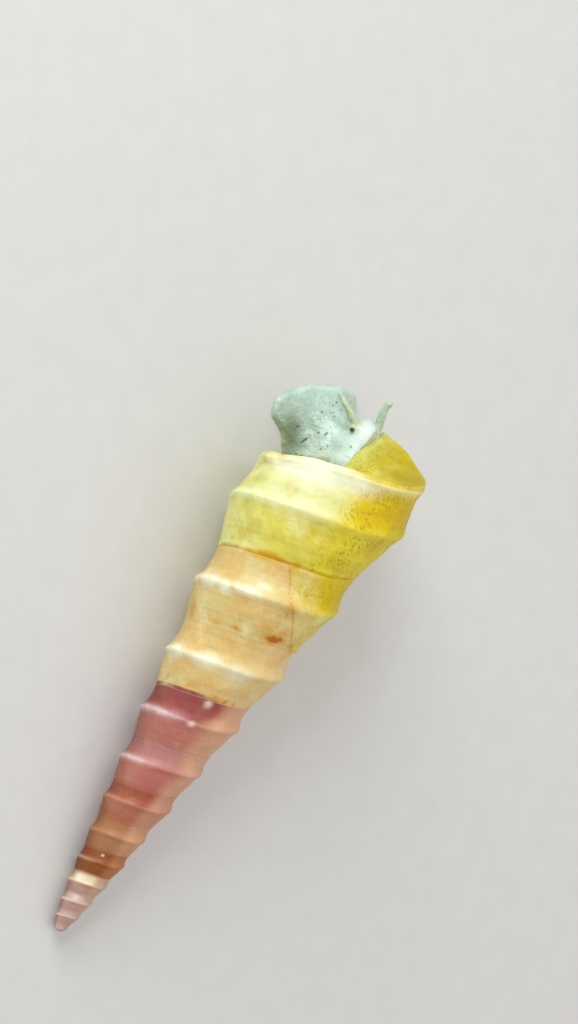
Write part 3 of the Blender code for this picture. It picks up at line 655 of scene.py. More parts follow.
def mouth_chain(index, base_index, points):
    """The mouth's outline from the columella past the wall and round the lip.

    It returns vertex numbers, a line of radius, height, the way in, the lip's
    setback and place, and how far each point belongs to the free lip.
    """
    chain = np.concatenate((base_index[0, :0:-1], index[-1, : ROWS + 1], base_index[-1, 1:]))
    radius, _, height = in_shell(points[chain])
    tangent = np.gradient(np.stack((radius, height), axis=1), axis=0)
    for _ in range(6):
        tangent[1:-1] = (tangent[:-2] + tangent[1:-1] + tangent[2:]) / 3.0
    tangent /= np.linalg.norm(tangent, axis=1)[:, None]
    way_in = np.stack((-tangent[:, 1], tangent[:, 0]), axis=1)
    where = np.arange(len(chain))
    lip = smooth_step((where - BASE_ROWS) / 8.0)
    lip[-BASE_ROWS // 2 :] *= np.linspace(1.0, 0.0, len(lip[-BASE_ROWS // 2 :]))
    places = np.full(len(chain), 0.7)
    places[BASE_ROWS : BASE_ROWS + ROWS + 1] = SUTURE - 1.0 + np.arange(ROWS + 1) / ROWS
    setback = np.where(places < 0.6, lip_line(places), 0.0)
    line = np.column_stack((radius, height, way_in, setback, places))
    return chain, line, lip


def spots(age, place, marks):
    """Soft spots on the shell, each by age, place, length, width and strength."""
    total = np.zeros(len(age))
    for mark_age, mark_place, length, width, strength in marks:
        size = WHORL_RATIO**-mark_age
        along = (age - mark_age) * TAU * KEEL_RADIUS_AT_LIP * size
        across = (place - mark_place) * KEEL_HEIGHT_AT_LIP * size * math.log(WHORL_RATIO)
        spot = np.exp(-((2.0 * along / length) ** 2 + (2.0 * across / width) ** 2))
        total = np.maximum(total, strength * spot)
    return total


def line_age(place):
    """How far a growth line runs back from where it crosses the main keel, in turns."""
    places, ages = np.array(GROWTH_LINE).T
    return np.interp(place, places, ages)


def shell_relief(points, age, place, inner):
    """How far each point of the shell stands out, in millimetres."""
    size = WHORL_RATIO**-age
    line = (age - line_age(place)) * TAU * KEEL_RADIUS_AT_LIP
    relief = 0.105 * rough(points, 3.6, 11) + 0.022 * rough(points, 0.8, 17)
    relief *= 0.45 + 0.55 * size
    lines = np.column_stack((line, place * 4.0, np.zeros(len(age))))
    relief += size * (0.018 * rough(lines, 0.55, 29) + 0.045 * rough(lines, 2.4, 31, 1))
    threads = np.column_stack((place * 14.0, line * 0.12, np.zeros(len(age))))
    relief += size * 0.006 * rough(threads, 0.30, 37, 2)
    uneven = 0.75 + 0.35 * noise(points, 2.2, 23)
    for at, tall, width in THREADS:
        relief += 0.5 * size * tall * bump(place - at, width) * uneven
    at, deep, width = GROOVE_AT_SUTURE
    open_seam = smooth_step((age - 0.98) / 0.06) * (0.04 + 0.96 * smooth_step((2.05 - age) / 0.25))
    relief -= size * deep * bump(place - at, width) * (place < SUTURE - 0.005) * open_seam
    bare = smooth_step((1.02 - age) / 0.10)
    relief += bare * CORD_HEIGHT * bump(place - 0.460, 0.062)
    relief += size * (0.05 * bump(place - 0.03, 0.070) - 0.06 * bump(place + 0.16, 0.10))
    since = since_scar(points, age, place)
    relief += np.where(since > 0.0, SCAR_STEP * np.exp(-since / SCAR_FADES_OVER), 0.0)
    relief += spots(age, place, KNOBS) - spots(age, place, DENTS)
    return relief * (inner == 0.0)


def since_scar(points, age, place):
    """Length of shell grown since the scar, in millimetres, negative before it."""
    scar = SCAR_AGE + line_age(place) + SCAR_WANDER * noise(points, 0.9, 41)
    return (scar - age) * TAU * KEEL_RADIUS_AT_LIP * WHORL_RATIO**-age


def shell_masks(points, age, place, inner):
    """What the shell's material reads at each point, most of it from 0 to 1."""
    side = np.sin(in_shell(points)[1] - CAMERA_SIDE)
    since = since_scar(points, age, place)
    last = smooth_step((1.04 - age) / 0.08)
    seam = np.minimum(bump(place - 0.447, 0.012) + bump(place + 0.538, 0.010), 1.0)
    seam_age = age - (place > 0.0)
    seam *= (1.0 - last * (place > 0.0)) * (seam_age < 2.1)
    seam *= 0.04 + 0.96 * smooth_step((1.05 - seam_age) / 0.25)
    beyond = 0.22 + 0.24 * bump(age - 3.40, 0.22) * smooth_step((place - 0.05) / 0.25)
    # How far a point lies towards the lit left; keel wear is strongest there, with painted highlight
    left = np.where(age > 3.05, (0.10 - side) / 0.62, (0.35 - side) / 0.9)
    next_below = np.where(
        age < 3.0,
        smooth_step((-0.486 - place) / 0.014) * smooth_step((age - 2.10) / 0.25),
        0.5 * smooth_step((-0.455 - place) / 0.09) * smooth_step((age - 3.0) / 0.2),
    )
    # On the left the cord reaches onto the base face: painted highlight where that face turns from the key
    # light
    cord_width = CORD_WIDTH + 0.07 * (place > 0.458) * smooth_step((0.5 - side) / 0.6)
    return {
        "age": age,
        "place": place,
        "growth_line": (age - line_age(place)) * TAU * KEEL_RADIUS_AT_LIP,
        "young": smooth_step(since / 0.12 + 0.5),
        "yellow": smooth_step((since - 1.1) / 3.8),
        "scar": bump(since + 0.03, 0.10),
        "right": smooth_step((side - 0.09) / 0.42),
        "far_right": smooth_step((side - beyond + 0.17 * noise(points, 3.0, 71)) / 0.46),
        "left": smooth_step(left + 0.16 * noise(points, 2.0, 73)),
        # Painted shade along the left edge of older whorls
        "painted_left_shade": smooth_step((-0.52 - side) / 0.42) * smooth_step((age - 3.1) / 0.3),
        # Pale green on the left, partly painted highlight
        "pale_green_and_highlight": smooth_step((-0.25 - side) / 0.6),
        "headward": smooth_step((place - 0.01) / 0.06),
        "tailward": smooth_step((-0.05 - place) / 0.20) * smooth_step((age - 1.0) / 0.1),
        "keel": bump(place - 0.008, 0.050 + 0.022 * (age > 3.0)),
        "seam": seam,
        "next_below": next_below,
        "next_above": 0.5 * smooth_step((place - 0.365) / 0.09) * smooth_step((age - 4.0) / 0.2),
        "cord": last * bump(place - 0.458, cord_width),
        "base": last * smooth_step((place - 0.520) / 0.03),
        "hollow": bump(place - 0.215, 0.140) * (age < 3.0),
        "stain": spots(age, place, STAINS),
        # Worn pale patches, partly painted highlight
        "pale_and_highlight": spots(age, place, WORN_AND_HIGHLIGHT_MARKS),
        "smear": spots(age, place, SMEARS),
        "inner": inner,
    }


def build_shell():
    """The shell in one piece. Returns the outline of its mouth, for the body to fill."""
    points, quads, age, place, inner, mouth = shell_grid()
    obj = new_object("shell", points, quads)
    relief = shell_relief(points, age, place, inner)
    points = points + mesh_normals(obj) * relief[:, None]
    points[:, 2] = np.maximum(points[:, 2], FLOOR_CLEARANCE)
    move_points(obj, points)
    set_masks(obj, shell_masks(points, age, place, inner))
    obj.data.materials.append(shell_material())
    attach(obj, "root")
    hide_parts("shell_body_whorl", "shell_penultimate_whorl", "shell_spire", "shell_apex")
    return mouth


def build_columella():
    """The twisted pillar in the shell's axis, seen in the mouth."""
    share = np.linspace(0.0, 1.0, COLUMELLA_ROWS + 1)
    to_end = (1.0 - share) * (COLUMELLA_TO - COLUMELLA_FROM)
    tapered = COLUMELLA_THIN_END + (1.0 - COLUMELLA_THIN_END) * smooth_step(to_end / COLUMELLA_TAPER)
    tapered *= np.sqrt(np.clip(to_end / 0.3, 0.0, 1.0))
    azimuth = TAU * np.arange(COLUMELLA_AROUND) / COLUMELLA_AROUND
    points = []
    for k, part in enumerate(share):
        height = COLUMELLA_FROM + (COLUMELLA_TO - COLUMELLA_FROM) * part
        fold = 1.0 + COLUMELLA_FOLD * np.cos(azimuth - TAU * height / COLUMELLA_FOLD_PITCH)
        radius = COLUMELLA_RADIUS * fold * max(tapered[k], 0.02)
        points.append(on_shell(radius, azimuth, np.full(COLUMELLA_AROUND, height)))
    quads = tube_quads(COLUMELLA_ROWS + 1, COLUMELLA_AROUND)
    obj = new_object("columella", np.concatenate(points), quads)
    obj.data.materials.append(columella_material())
    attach(obj, "root")


def links_field(low, step, field, links, blend):
    """Joins a chain of round cones to a field of distances, with a soft seam."""
    centres = np.array([centre for centre, _ in links], float)
    radii = np.array([radius for _, radius in links], float)
    margin = radii.max() + blend + 4.0 * step
    first = np.maximum(((centres.min(0) - margin - low) / step).astype(int), 0)
    last = np.minimum(((centres.max(0) + margin - low) / step).astype(int) + 1, field.shape)
    part = tuple(slice(a, b) for a, b in zip(first, last))
    axes = [low[k] + step * np.arange(first[k], last[k]) for k in range(3)]
    where = np.stack(np.meshgrid(*axes, indexing="ij"), axis=-1)
    nearest = np.full(where.shape[:3], np.inf)
    for a, b, near, far in zip(centres, centres[1:], radii, radii[1:]):
        along = b - a
        share = np.clip(((where - a) @ along) / (along @ along), 0.0, 1.0)
        gap = np.linalg.norm(where - a - share[..., None] * along, axis=-1)
        nearest = np.minimum(nearest, gap - (near + (far - near) * share))
    field[part] = soft_union(field[part], nearest, blend)


def soft_union(first, second, blend):
    share = np.clip(0.5 + 0.5 * (second - first) / blend, 0.0, 1.0)
    return second + (first - second) * share - blend * share * (1.0 - share)


def outline_distance(x, y, corners):
    """Signed distance in the plane to a closed outline, negative inside."""
    nearest = np.full(x.shape, np.inf)
    inside = np.zeros(x.shape, bool)
    for (ax, ay), (bx, by) in zip(corners, np.roll(corners, -1, axis=0)):
        dx, dy = bx - ax, by - ay
        share = np.clip(((x - ax) * dx + (y - ay) * dy) / (dx * dx + dy * dy), 0.0, 1.0)
        nearest = np.minimum(nearest, np.hypot(x - ax - share * dx, y - ay - share * dy))
        crosses = (ay > y) != (by > y)
        rise = np.where(crosses, by - ay, 1.0)
        inside ^= crosses & (x < ax + (y - ay) * dx / rise)
    return np.where(inside, -nearest, nearest)


def foot_field(x, y, z):
    """Distance to the foot: flat sole, thin rounded margins and a raised back."""
    along, *columns = np.array(FOOT_STATIONS).T
    fine = np.linspace(along[0], along[-1], 240)
    curves = [smoothed(np.interp(fine, along, values), 14, mode="edge") for values in columns]
    ragged = 0.05 * np.sin(fine * 2.9) + 0.02 * np.sin(fine * 6.7 + 0.8)
    edge_left = HEADING[:2] * fine[:, None] + ACROSS[:2] * (curves[0] + ragged)[:, None]
    edge_right = HEADING[:2] * fine[:, None] - ACROSS[:2] * (curves[1] + ragged[::-1])[:, None]
    corners = np.concatenate((edge_left, edge_right[::-1]))
    flat_x, flat_y = x[:, :, 0], y[:, :, 0]
    outline = outline_distance(flat_x, flat_y, corners)
    a = flat_x * HEADING[0] + flat_y * HEADING[1]
    b = flat_x * ACROSS[0] + flat_y * ACROSS[1]
    left, right, mound, shift = (np.interp(a, fine, curve) for curve in curves)
    half_width = 0.5 * (left + right)
    across = b - 0.5 * (left - right)
    place = np.clip(across / half_width, -1.0, 1.0)
    rise = bump(across - shift * (1.0 - place**2), MOUND_SPREAD)
    flat = bump(half_width, MOUND_SPREAD)
    top = MARGIN_THICKNESS + (mound - MARGIN_THICKNESS) * np.maximum(rise - flat, 0.0) / (1.0 - flat)
    ground = np.column_stack((flat_x.ravel(), flat_y.ravel(), np.zeros(flat_x.size)))
    top += (0.06 * rough(ground, 1.6, 51)).reshape(top.shape)
    edge = np.clip(-outline / MARGIN_ROUNDING, 0.0, 1.0)
    top *= np.sqrt(1.0 - (1.0 - edge) ** 2) * 0.8 + 0.2 * smooth_step(edge)
    slope = np.hypot(*np.gradient(top, flat_x[1, 0] - flat_x[0, 0]))
    over = (z - top[:, :, None]) / np.sqrt(1.0 + np.minimum(slope, 3.0) ** 2)[:, :, None]
    return np.maximum(over, outline[:, :, None])


def shell_distances(points, mouth):
    """For points near the mouth: distance out of the shell's base, and into the mouth's wall."""
    radius, azimuth, height = in_shell(points)
    ahead = (azimuth - LIP_AZIMUTH + TAU / 4.0) % TAU - TAU / 4.0
    size = WHORL_RATIO ** (ahead / TAU - 1.0)
    opened = smooth_step(ahead / TAU / BAND_OPENS_OVER)
    base_height = np.zeros(len(points))
    for amount, weight in ((0.0, 1.0 - opened), (1.0, opened)):
        path = base_path(amount)
        inward = path[np.argmax(path[:, 0]) :][::-1]
        share = np.interp(radius / (KEEL_RADIUS_AT_LIP * size), inward[:, 0], inward[:, 1])
        base_height += weight * share
    base_height *= KEEL_HEIGHT_AT_LIP * size
    solid = np.maximum(height - base_height, radius - 0.94 * KEEL_RADIUS_AT_LIP * size)
    behind = -ahead
    shrink = WHORL_RATIO ** (-behind / TAU)
    wall = outline_distance(radius / shrink, height / shrink, mouth) * shrink
    return solid, wall, behind, radius


class Paint:
    """One procedural material, with a short word for each kind of node."""

    def __init__(self, name):
        self.material = bpy.data.materials.new(name)
        self.material.use_nodes = True
        self.tree = self.material.node_tree
        self.shader = self.tree.nodes["Principled BSDF"]
        self.where = self.put("ShaderNodeTexCoord", {}).outputs["Object"]

    def feed(self, socket, value):
        """Links a socket to another one, or gives it a value."""
        if isinstance(value, bpy.types.NodeSocket):
            self.tree.links.new(value, socket)
        else:
            socket.default_value = value

    def put(self, kind, inputs, **options):
        """A new node with its options and inputs set."""
        made = self.tree.nodes.new(kind)
        for key, value in options.items():
            setattr(made, key, value)
        for key, value in inputs.items():
            self.feed(made.inputs[key], value)
        return made

    def finish(self, **inputs):
        """Sets the shader's inputs, named with _ for a space."""
        for key, value in inputs.items():
            self.feed(self.shader.inputs[key.replace("_", " ")], value)
        return self.material

    def mix(self, share, first, second, blend="MIX"):
        """The colour between two colours, or one laid over the other."""
        inputs = {0: share}
        for key, value in ((6, first), (7, second)):
            inputs[key] = (*value, 1.0) if isinstance(value, tuple) else value
        return self.put("ShaderNodeMix", inputs, data_type="RGBA", blend_type=blend).outputs[2]

    def math(self, operation, first, second, clamp=False):
        inputs = {0: first, 1: second}
        return self.put("ShaderNodeMath", inputs, operation=operation, use_clamp=clamp).outputs[0]

    def times(self, first, *others):
        for other in others:
            first = self.math("MULTIPLY", first, other)
        return first

    def joined(self, first, second):
        """A sum that stops at one."""
        return self.math("ADD", first, second, True)

    def fit(self, value, low, high, to_low=0.0, to_high=1.0):
        """A value moved from one range into another, and kept inside it."""
        inputs = {"Value": value, "From Min": low, "From Max": high, "To Min": to_low, "To Max": to_high}
        return self.put("ShaderNodeMapRange", inputs).outputs["Result"]

    def mask(self, name):
        return self.put("ShaderNodeAttribute", {}, attribute_name=name).outputs["Fac"]

    def plane(self, x, y):
        return self.put("ShaderNodeCombineXYZ", {0: x, 1: y}).outputs[0]

    def grain(self, scale, detail=3.0, roughness=0.55, where=None):
        where = self.where if where is None else where
        inputs = {"Vector": where, "Scale": scale, "Detail": detail, "Roughness": roughness}
        return self.put("ShaderNodeTexNoise", inputs).outputs["Fac"]

    def bumps(self, height, distance, under=None):
        inputs = {"Height": height, "Distance": distance * MM, "Strength": 1.0}
        if under is not None:
            inputs["Normal"] = under
        return self.put("ShaderNodeBump", inputs).outputs["Normal"]

    def ramp(self, age, stops):
        """Colours by the shell's age."""
        made = self.put("ShaderNodeValToRGB", {0: self.math("DIVIDE", age, OLDEST)})
        ramp = made.color_ramp
        while len(ramp.elements) < len(stops):
            ramp.elements.new(0.5)
        for element, (at, _) in zip(ramp.elements, stops):
            element.position = at / OLDEST
        for element, (_, value) in zip(ramp.elements, stops):
            element.color = (*value, 1.0)
        return made.outputs["Color"]


def columella_material():
    """Yellow shell with cloudy and fine variation."""
    p = Paint("columella")
    clouds = p.fit(p.grain(COLUMELLA_CLOUDS), 0.35, 0.65)
    fine = p.grain(COLUMELLA_GRAIN, 5.0)
    base = p.mix(clouds, COLUMELLA_DARK, COLUMELLA_YELLOW)
    base = p.mix(p.fit(fine, 0.3, 0.7, 0.0, 0.2), base, COLUMELLA_SPECKS, "MULTIPLY")
    matt = p.fit(fine, 0.3, 0.7, 0.37, 0.53)
    return p.finish(Base_Color=base, Roughness=matt, Normal=p.bumps(fine, 0.04))


def young_colours(p, clouds, patches):
    """Yellow shell made since the scar: paler on its left, partly as painted highlight, ochre on its right.
    """
    place, right, cord = p.mask("place"), p.mask("right"), p.mask("cord")
    yellow = p.mix(right, YELLOW_PALE, YELLOW_DEEP)
    yellow = p.mix(p.fit(p.mask("headward"), 0.0, 1.0, 0.75, 0.0), yellow, YELLOW_TAIL)
    # Pale green on the left, partly painted highlight
    yellow = p.mix(p.times(p.mask("pale_green_and_highlight"), p.fit(patches, 0.0, 1.0, 0.5, 0.9)), yellow, YELLOW_GREEN_AND_HIGHLIGHT)
    middle = p.joined(p.fit(place, 0.62, 0.88), p.fit(clouds, 0.0, 1.0, -0.30, 0.15))
    middle = p.joined(middle, p.fit(right, 0.45, 1.0, 1.0, 0.0))
    yellow = p.mix(p.mask("base"), yellow, p.mix(middle, BASE_OCHRE, BASE_YELLOW))
    low = p.times(p.mask("hollow"), p.mask("far_right"), p.fit(patches, 0.0, 0.8, 1.0, 0.5))
    yellow = p.mix(low, yellow, OCHRE)
    # Cord colour, partly painted highlight
    yellow = p.mix(p.times(cord, 0.85), yellow, CORD_YELLOW_AND_HIGHLIGHT)
    yellow = p.mix(p.times(p.mask("tailward"), 0.55), yellow, SCAR_CREAM)
    return p.mix(p.mask("yellow"), SCAR_CREAM, yellow)


def old_colours(p):
    """Cream, purple, rose and pale shell older than the scar, by its age."""
    age = p.mask("age")
    old = p.mix(p.mask("headward"), p.ramp(age, TAILWARD), p.ramp(age, HEADWARD))
    old = p.mix(p.mask("next_below"), old, p.ramp(p.math("ADD", age, 1.0), HEADWARD))
    old = p.mix(p.mask("next_above"), old, p.ramp(p.math("SUBTRACT", age, 1.0), TAILWARD))
    return p.mix(p.mask("far_right"), old, p.ramp(age, RIGHTWARD))


def shell_pits(p, line, right):
    """Small dark pits, in swarms, most of them on the shell's right."""
    age, place = p.mask("age"), p.mask("place")
    down = p.math("ADD", p.times(place, 8.0), p.fit(place, 0.5, 1.0, 0.0, 6.0))
    inputs = {"Vector": p.plane(line, down), "Scale": PITS_PER_MM, "Randomness": 0.9}
    dots = p.fit(p.put("ShaderNodeTexVoronoi", inputs).outputs["Distance"], 0.10, 0.55, 1.0, 0.0)
    swarms = p.fit(p.grain(520.0), 0.40, 0.56)
    on_cord = p.fit(p.mask("cord"), 0.2, 0.7, 1.0, 0.25)
    by_age = p.fit(age, 1.1, 2.2, 1.0, 0.0)
    return p.times(dots, swarms, p.fit(right, 0.0, 1.0, 0.12, 0.92), on_cord, by_age)


def shell_material():
    """Yellow, cream, purple and pale shell, worn on its keels, stained and pitted, with painted highlights on
    its keels and cord and painted shade at the left edge of old whorls.
    """
    p = Paint("shell")
    age, place, line, right = (p.mask(name) for name in ("age", "place", "growth_line", "right"))
    young, inner = p.mask("young"), p.mask("inner")
    clouds = p.fit(p.grain(SHELL_CLOUDS), 0.34, 0.66)
    patches = p.fit(p.grain(SHELL_PATCHES), 0.36, 0.64)
    fine = p.grain(SHELL_GRAIN, 4.0, 0.6)
    streaks = p.grain(1.6, 4.0, 0.6, p.plane(line, p.times(place, 3.0)))
    threads = p.grain(40.0, 3.0, 0.6, p.plane(p.times(line, 0.10), place))

    base = p.mix(young, old_colours(p), young_colours(p, clouds, patches))
    # Painted shade along the left edge of older whorls
    base = p.mix(p.times(p.mask("painted_left_shade"), 0.8), base, PAINTED_LEFT_EDGE_SHADE, "MULTIPLY")
    blotches = p.fit(age, 2.8, 3.2, 1.0, 0.10)
    warm = p.times(p.fit(p.grain(330.0, 2.0), 0.46, 0.68, 0.0, 0.60), blotches)
    base = p.mix(warm, base, p.mix(young, BLOTCH_PEACH, BLOTCH_OCHRE))
    pale = p.times(p.fit(p.grain(235.0), 0.50, 0.70, 0.0, 0.55), blotches)
    base = p.mix(p.times(pale, p.fit(right, 0.0, 0.8, 1.0, 0.0)), base, BLOTCH_PALE)
    for amount, shade in (
        (p.fit(clouds, 0.0, 1.0, 0.30, 0.0), CLOUD_SHADE),
        (p.fit(patches, 0.0, 1.0, 0.0, 0.16), PATCH_SHADE),
        (p.fit(streaks, 0.35, 0.70, 0.0, 0.22), STREAK_SHADE),
    ):
        base = p.mix(amount, base, shade, "MULTIPLY")

    # Keel wear with painted highlight, mostly on the lit left side
    worn = p.times(p.mask("keel"), p.fit(patches, 0.1, 0.8, 0.65, 1.0))
    worn = p.times(worn, p.fit(p.mask("left"), 0.0, 1.0, 0.02, 0.90))
    seam = p.times(p.mask("seam"), p.fit(patches, 0.2, 0.8, 0.10, 0.75))
    scar = p.times(p.mask("scar"), p.fit(patches, 0.0, 1.0, 0.25, 0.8))
    dots = shell_pits(p, line, right)
    stained = p.times(p.mask("stain"), p.fit(fine, 0.3, 0.7, 0.75, 1.20))
    stained = p.times(stained, p.fit(patches, 0.0, 1.0, 0.75, 1.20))
    # Worn pale patches and painted highlights on keels and cord
    pale_and_highlight = p.times(p.mask("pale_and_highlight"), p.fit(fine, 0.3, 0.7, 0.90, 1.08))
    pale_and_highlight = p.times(pale_and_highlight, p.fit(patches, 0.0, 1.0, 0.78, 1.12))
    lining = p.mix(p.fit(inner, 0.4, 1.0), INSIDE_COLOUR, INSIDE_DEEP)
    for amount, tint in (
        (worn, p.ramp(age, KEEL_WEAR_AND_HIGHLIGHT)),
        (dots, PIT_BROWN),
        (p.joined(seam, p.fit(p.mask("smear"), 0.10, 0.8, 0.0, 0.9)), SEAM_ORANGE),
        (scar, SEAM_ORANGE),
        (p.fit(stained, 0.06, 0.55, 0.0, 0.80), STAIN_ORANGE),
        (p.fit(stained, 0.50, 1.00, 0.0, 0.90), STAIN_BROWN),
        (p.fit(pale_and_highlight, 0.05, 1.0, 0.0, 0.85), WORN_WHITE_AND_HIGHLIGHT),
        (p.fit(inner, 0.0, 0.4), lining),
    ):
        base = p.mix(amount, base, tint)

    normal = p.bumps(streaks, 0.016)
    normal = p.bumps(threads, 0.005, normal)
    normal = p.bumps(p.math("ADD", fine, p.times(dots, -1.2)), 0.026, normal)
    matt = p.fit(fine, 0.3, 0.7, 0.36, 0.54)
    gloss = p.fit(right, 0.0, 1.0, 0.38, 0.14)
    return p.finish(Base_Color=base, Roughness=matt, Specular_IOR_Level=gloss, Normal=normal)


def surface_net(field, low, step):
    """A closed mesh of quads where the field of distances is zero."""
    cells = np.array(field.shape) - 1
    strides = np.array((cells[1] * cells[2], cells[2], 1))
    inside = field < 0.0
    numbers, sums, faces = [], [], []
    for axis in range(3):
        signs = np.moveaxis(inside, axis, 0)
        crossing = np.argwhere(np.moveaxis(signs[:-1] != signs[1:], 0, axis))
        end = crossing + np.eye(3, dtype=int)[axis]
        first, second = field[tuple(crossing.T)], field[tuple(end.T)]
        where = crossing.astype(float)
        where[:, axis] += first / (first - second)
        one, two = np.delete(strides, axis)
        ring = crossing @ strides - np.array(((0,), (one,), (one + two,), (two,)))
        numbers.append(ring.ravel())
        sums.append(np.tile(where, (4, 1)))
        quad = ring.T.copy()
        flip = (first < 0.0) == (axis != 1)
        quad[~flip] = quad[~flip][:, ::-1]
        faces.append(quad)
    numbers = np.concatenate(numbers)
    sums = np.concatenate(sums)
    used, which = np.unique(numbers, return_inverse=True)
    count = np.bincount(which)
    middle = np.stack([np.bincount(which, sums[:, k]) / count for k in range(3)], axis=1)
    faces = np.searchsorted(used, np.concatenate(faces))
    return low + step * middle, faces


def ease(points, quads, rounds):
    """Points moved towards the middle of their neighbours and back, so bumps of the grid go."""
    starts = quads.ravel()
    ends = np.roll(quads, -1, axis=1).ravel()
    degree = np.bincount(starts, minlength=len(points))[:, None]
    for k in range(rounds):
        total = np.stack([np.bincount(starts, points[ends, c], len(points)) for c in range(3)], axis=1)
        points = points + (0.55 if k % 2 == 0 else -0.57) * (total / degree - points)
    return points


def tentacle_links(side):
    """A feeler's round links along a bent line, with a swollen foot where the eye sits."""
    knots = np.array(TENTACLES[side])
    share = np.linspace(0.0, 1.0, TENTACLE_LINKS)
    at = np.linspace(0.0, 1.0, len(knots))
    line = np.stack([np.interp(share, at, knots[:, k]) for k in range(3)], axis=1)
    for _ in range(3):
        line[1:-1] = 0.25 * line[:-2] + 0.5 * line[1:-1] + 0.25 * line[2:]
    at_foot, at_tip = TENTACLE_RADII[side]
    radius = at_foot + (at_tip - at_foot) * share
    radius *= 1.0 + 0.25 * np.exp(-share / 0.12) + 0.03 * np.sin(share * 40.0)
    return list(zip(line, radius))


def flesh_field(mouth):
    """Distances to the living body's skin, on a grid in millimetres."""
    low, high = np.array(FLESH_LOW), np.array(FLESH_HIGH)
    counts = np.ceil((high - low) / FLESH_STEP).astype(int) + 1
    axes = [low[k] + FLESH_STEP * np.arange(counts[k]) for k in range(3)]
    x, y, z = np.meshgrid(*axes, indexing="ij")
    field = foot_field(x, y, z)
    for links, blend in ((NECK, 1.1), (CHEEK, 0.6), (SNOUT, 0.5)):
        links_field(low, FLESH_STEP, field, links, blend)
    near = np.argwhere((y > -3.5) & (z > 0.9) & (field < 8.0))
    spot = tuple(near.T)
    points = np.stack((x[spot], y[spot], z[spot]), axis=1)
    base, wall, behind, radius = shell_distances(points, mouth)
    plug = np.maximum(wall - 0.05, np.abs(behind - MANTLE_BEHIND) * radius - MANTLE_HALF)
    plug = np.where(np.abs(behind) < 1.2, np.maximum(plug, (0.04 - behind) * radius), 9.0)
    body = soft_union(field[spot], plug, 0.5)
    inside_lip = (behind > 0.02) & (behind < 1.2)
    field[spot] = np.where(inside_lip, np.maximum(body, wall - 0.05), body)
    for side in TENTACLES:
        links_field(low, FLESH_STEP, field, tentacle_links(side), FEELER_BLEND[side])
    for centre in EYES.values():
        links = [(np.array(centre) - 0.12, EYE_RADIUS + 0.10), (np.array(centre) - 0.10, EYE_RADIUS + 0.10)]
        links_field(low, FLESH_STEP, field, links, 0.25)
    field[spot] = np.maximum(field[spot], 0.04 - base)
    field = np.maximum(field, -z)
    for axis in range(3):
        face = np.moveaxis(field, axis, 0)
        face[0] = np.maximum(face[0], 0.5 * FLESH_STEP)
        face[-1] = np.maximum(face[-1], 0.5 * FLESH_STEP)
    return field, low


def feeler_share(points):
    """How far each point belongs to a feeler."""
    nearest = np.full(len(points), np.inf)
    for side in TENTACLES:
        for centre, radius in tentacle_links(side)[2:]:
            nearest = np.minimum(nearest, np.linalg.norm(points - centre, axis=1) - radius)
    return smooth_step((0.45 - nearest) / 0.35)


def in_picture(points):
    """Where points in millimetres fall in the photograph, in its pixels."""
    turn, place = camera_pose()
    local = (points * MM - np.array(place)) @ np.array(turn)
    lens = SENSOR / PICTURE_HEIGHT_AT_AIM * CAMERA_DISTANCE
    x = 0.5 * PICTURE[0] + lens / SENSOR * PICTURE[1] * local[:, 0] / -local[:, 2]
    y = 0.5 * PICTURE[1] - lens / SENSOR * PICTURE[1] * local[:, 1] / -local[:, 2]
    return x, y


def fleck_strength(x, y, facing):
    """Dark flecks on the foot and head, placed by where the photograph shows them."""
    total = np.zeros(len(x))
    slant = math.radians(FLECK_SLANT)
    for centre_x, centre_y, length, width, strength in FLECKS:
        dx, dy = x - centre_x, y - centre_y
        turn = 0.0 if length < 0.0 else slant
        along = (dx * math.cos(turn) - dy * math.sin(turn)) / (0.5 * abs(length))
        across = (dx * math.sin(turn) + dy * math.cos(turn)) / (0.5 * width)
        total = np.maximum(total, strength * np.exp(-(along**2 + across**2)))
    return total * facing


def flesh_material():
    """Wet bluish skin with grains, flecks, a darker side that is partly painted shade, and a pale snout and
    neck with painted highlight.
    """
    p = Paint("flesh")
    clouds = p.fit(p.grain(FLESH_CLOUDS), 0.32, 0.68)
    fine = p.grain(SKIN_GRAIN, 4.0, 0.6)
    cells = p.put("ShaderNodeTexVoronoi", {"Vector": p.where, "Scale": FLESH_CELLS}).outputs["Distance"]
    base = p.mix(clouds, FLESH_MINT, FLESH_PALE)
    base = p.mix(p.times(p.mask("feeler"), 0.85), base, FEELER_GREEN)
    # The shade tint is partly painted shade, the pale tint partly painted highlight
    for name, tint in FLESH_TINTS:
        base = p.mix(p.mask(name), base, tint)
    grains = p.times(p.fit(cells, 0.0, 0.5, 0.28, 0.0), p.fit(fine, 0.4, 0.6))
    base = p.mix(grains, base, FLESH_GRAIN)
    fleck = p.math("ADD", p.mask("fleck"), p.fit(fine, 0.3, 0.7, -0.15, 0.15))
    base = p.mix(p.fit(fleck, 0.25, 0.6, 0.0, 0.92), base, FLECK_COLOUR)
    return p.finish(
        Base_Color=base,
        Roughness=p.fit(fine, 0.3, 0.7, 0.30, 0.46),
        Normal=p.bumps(fine, 0.05, p.bumps(cells, 0.05)),
        Subsurface_Weight=0.35,
        Subsurface_Radius=(0.9, 1.0, 0.8),
        Subsurface_Scale=0.6 * MM,
        Coat_Weight=0.35,
        Coat_Roughness=0.18,
    )


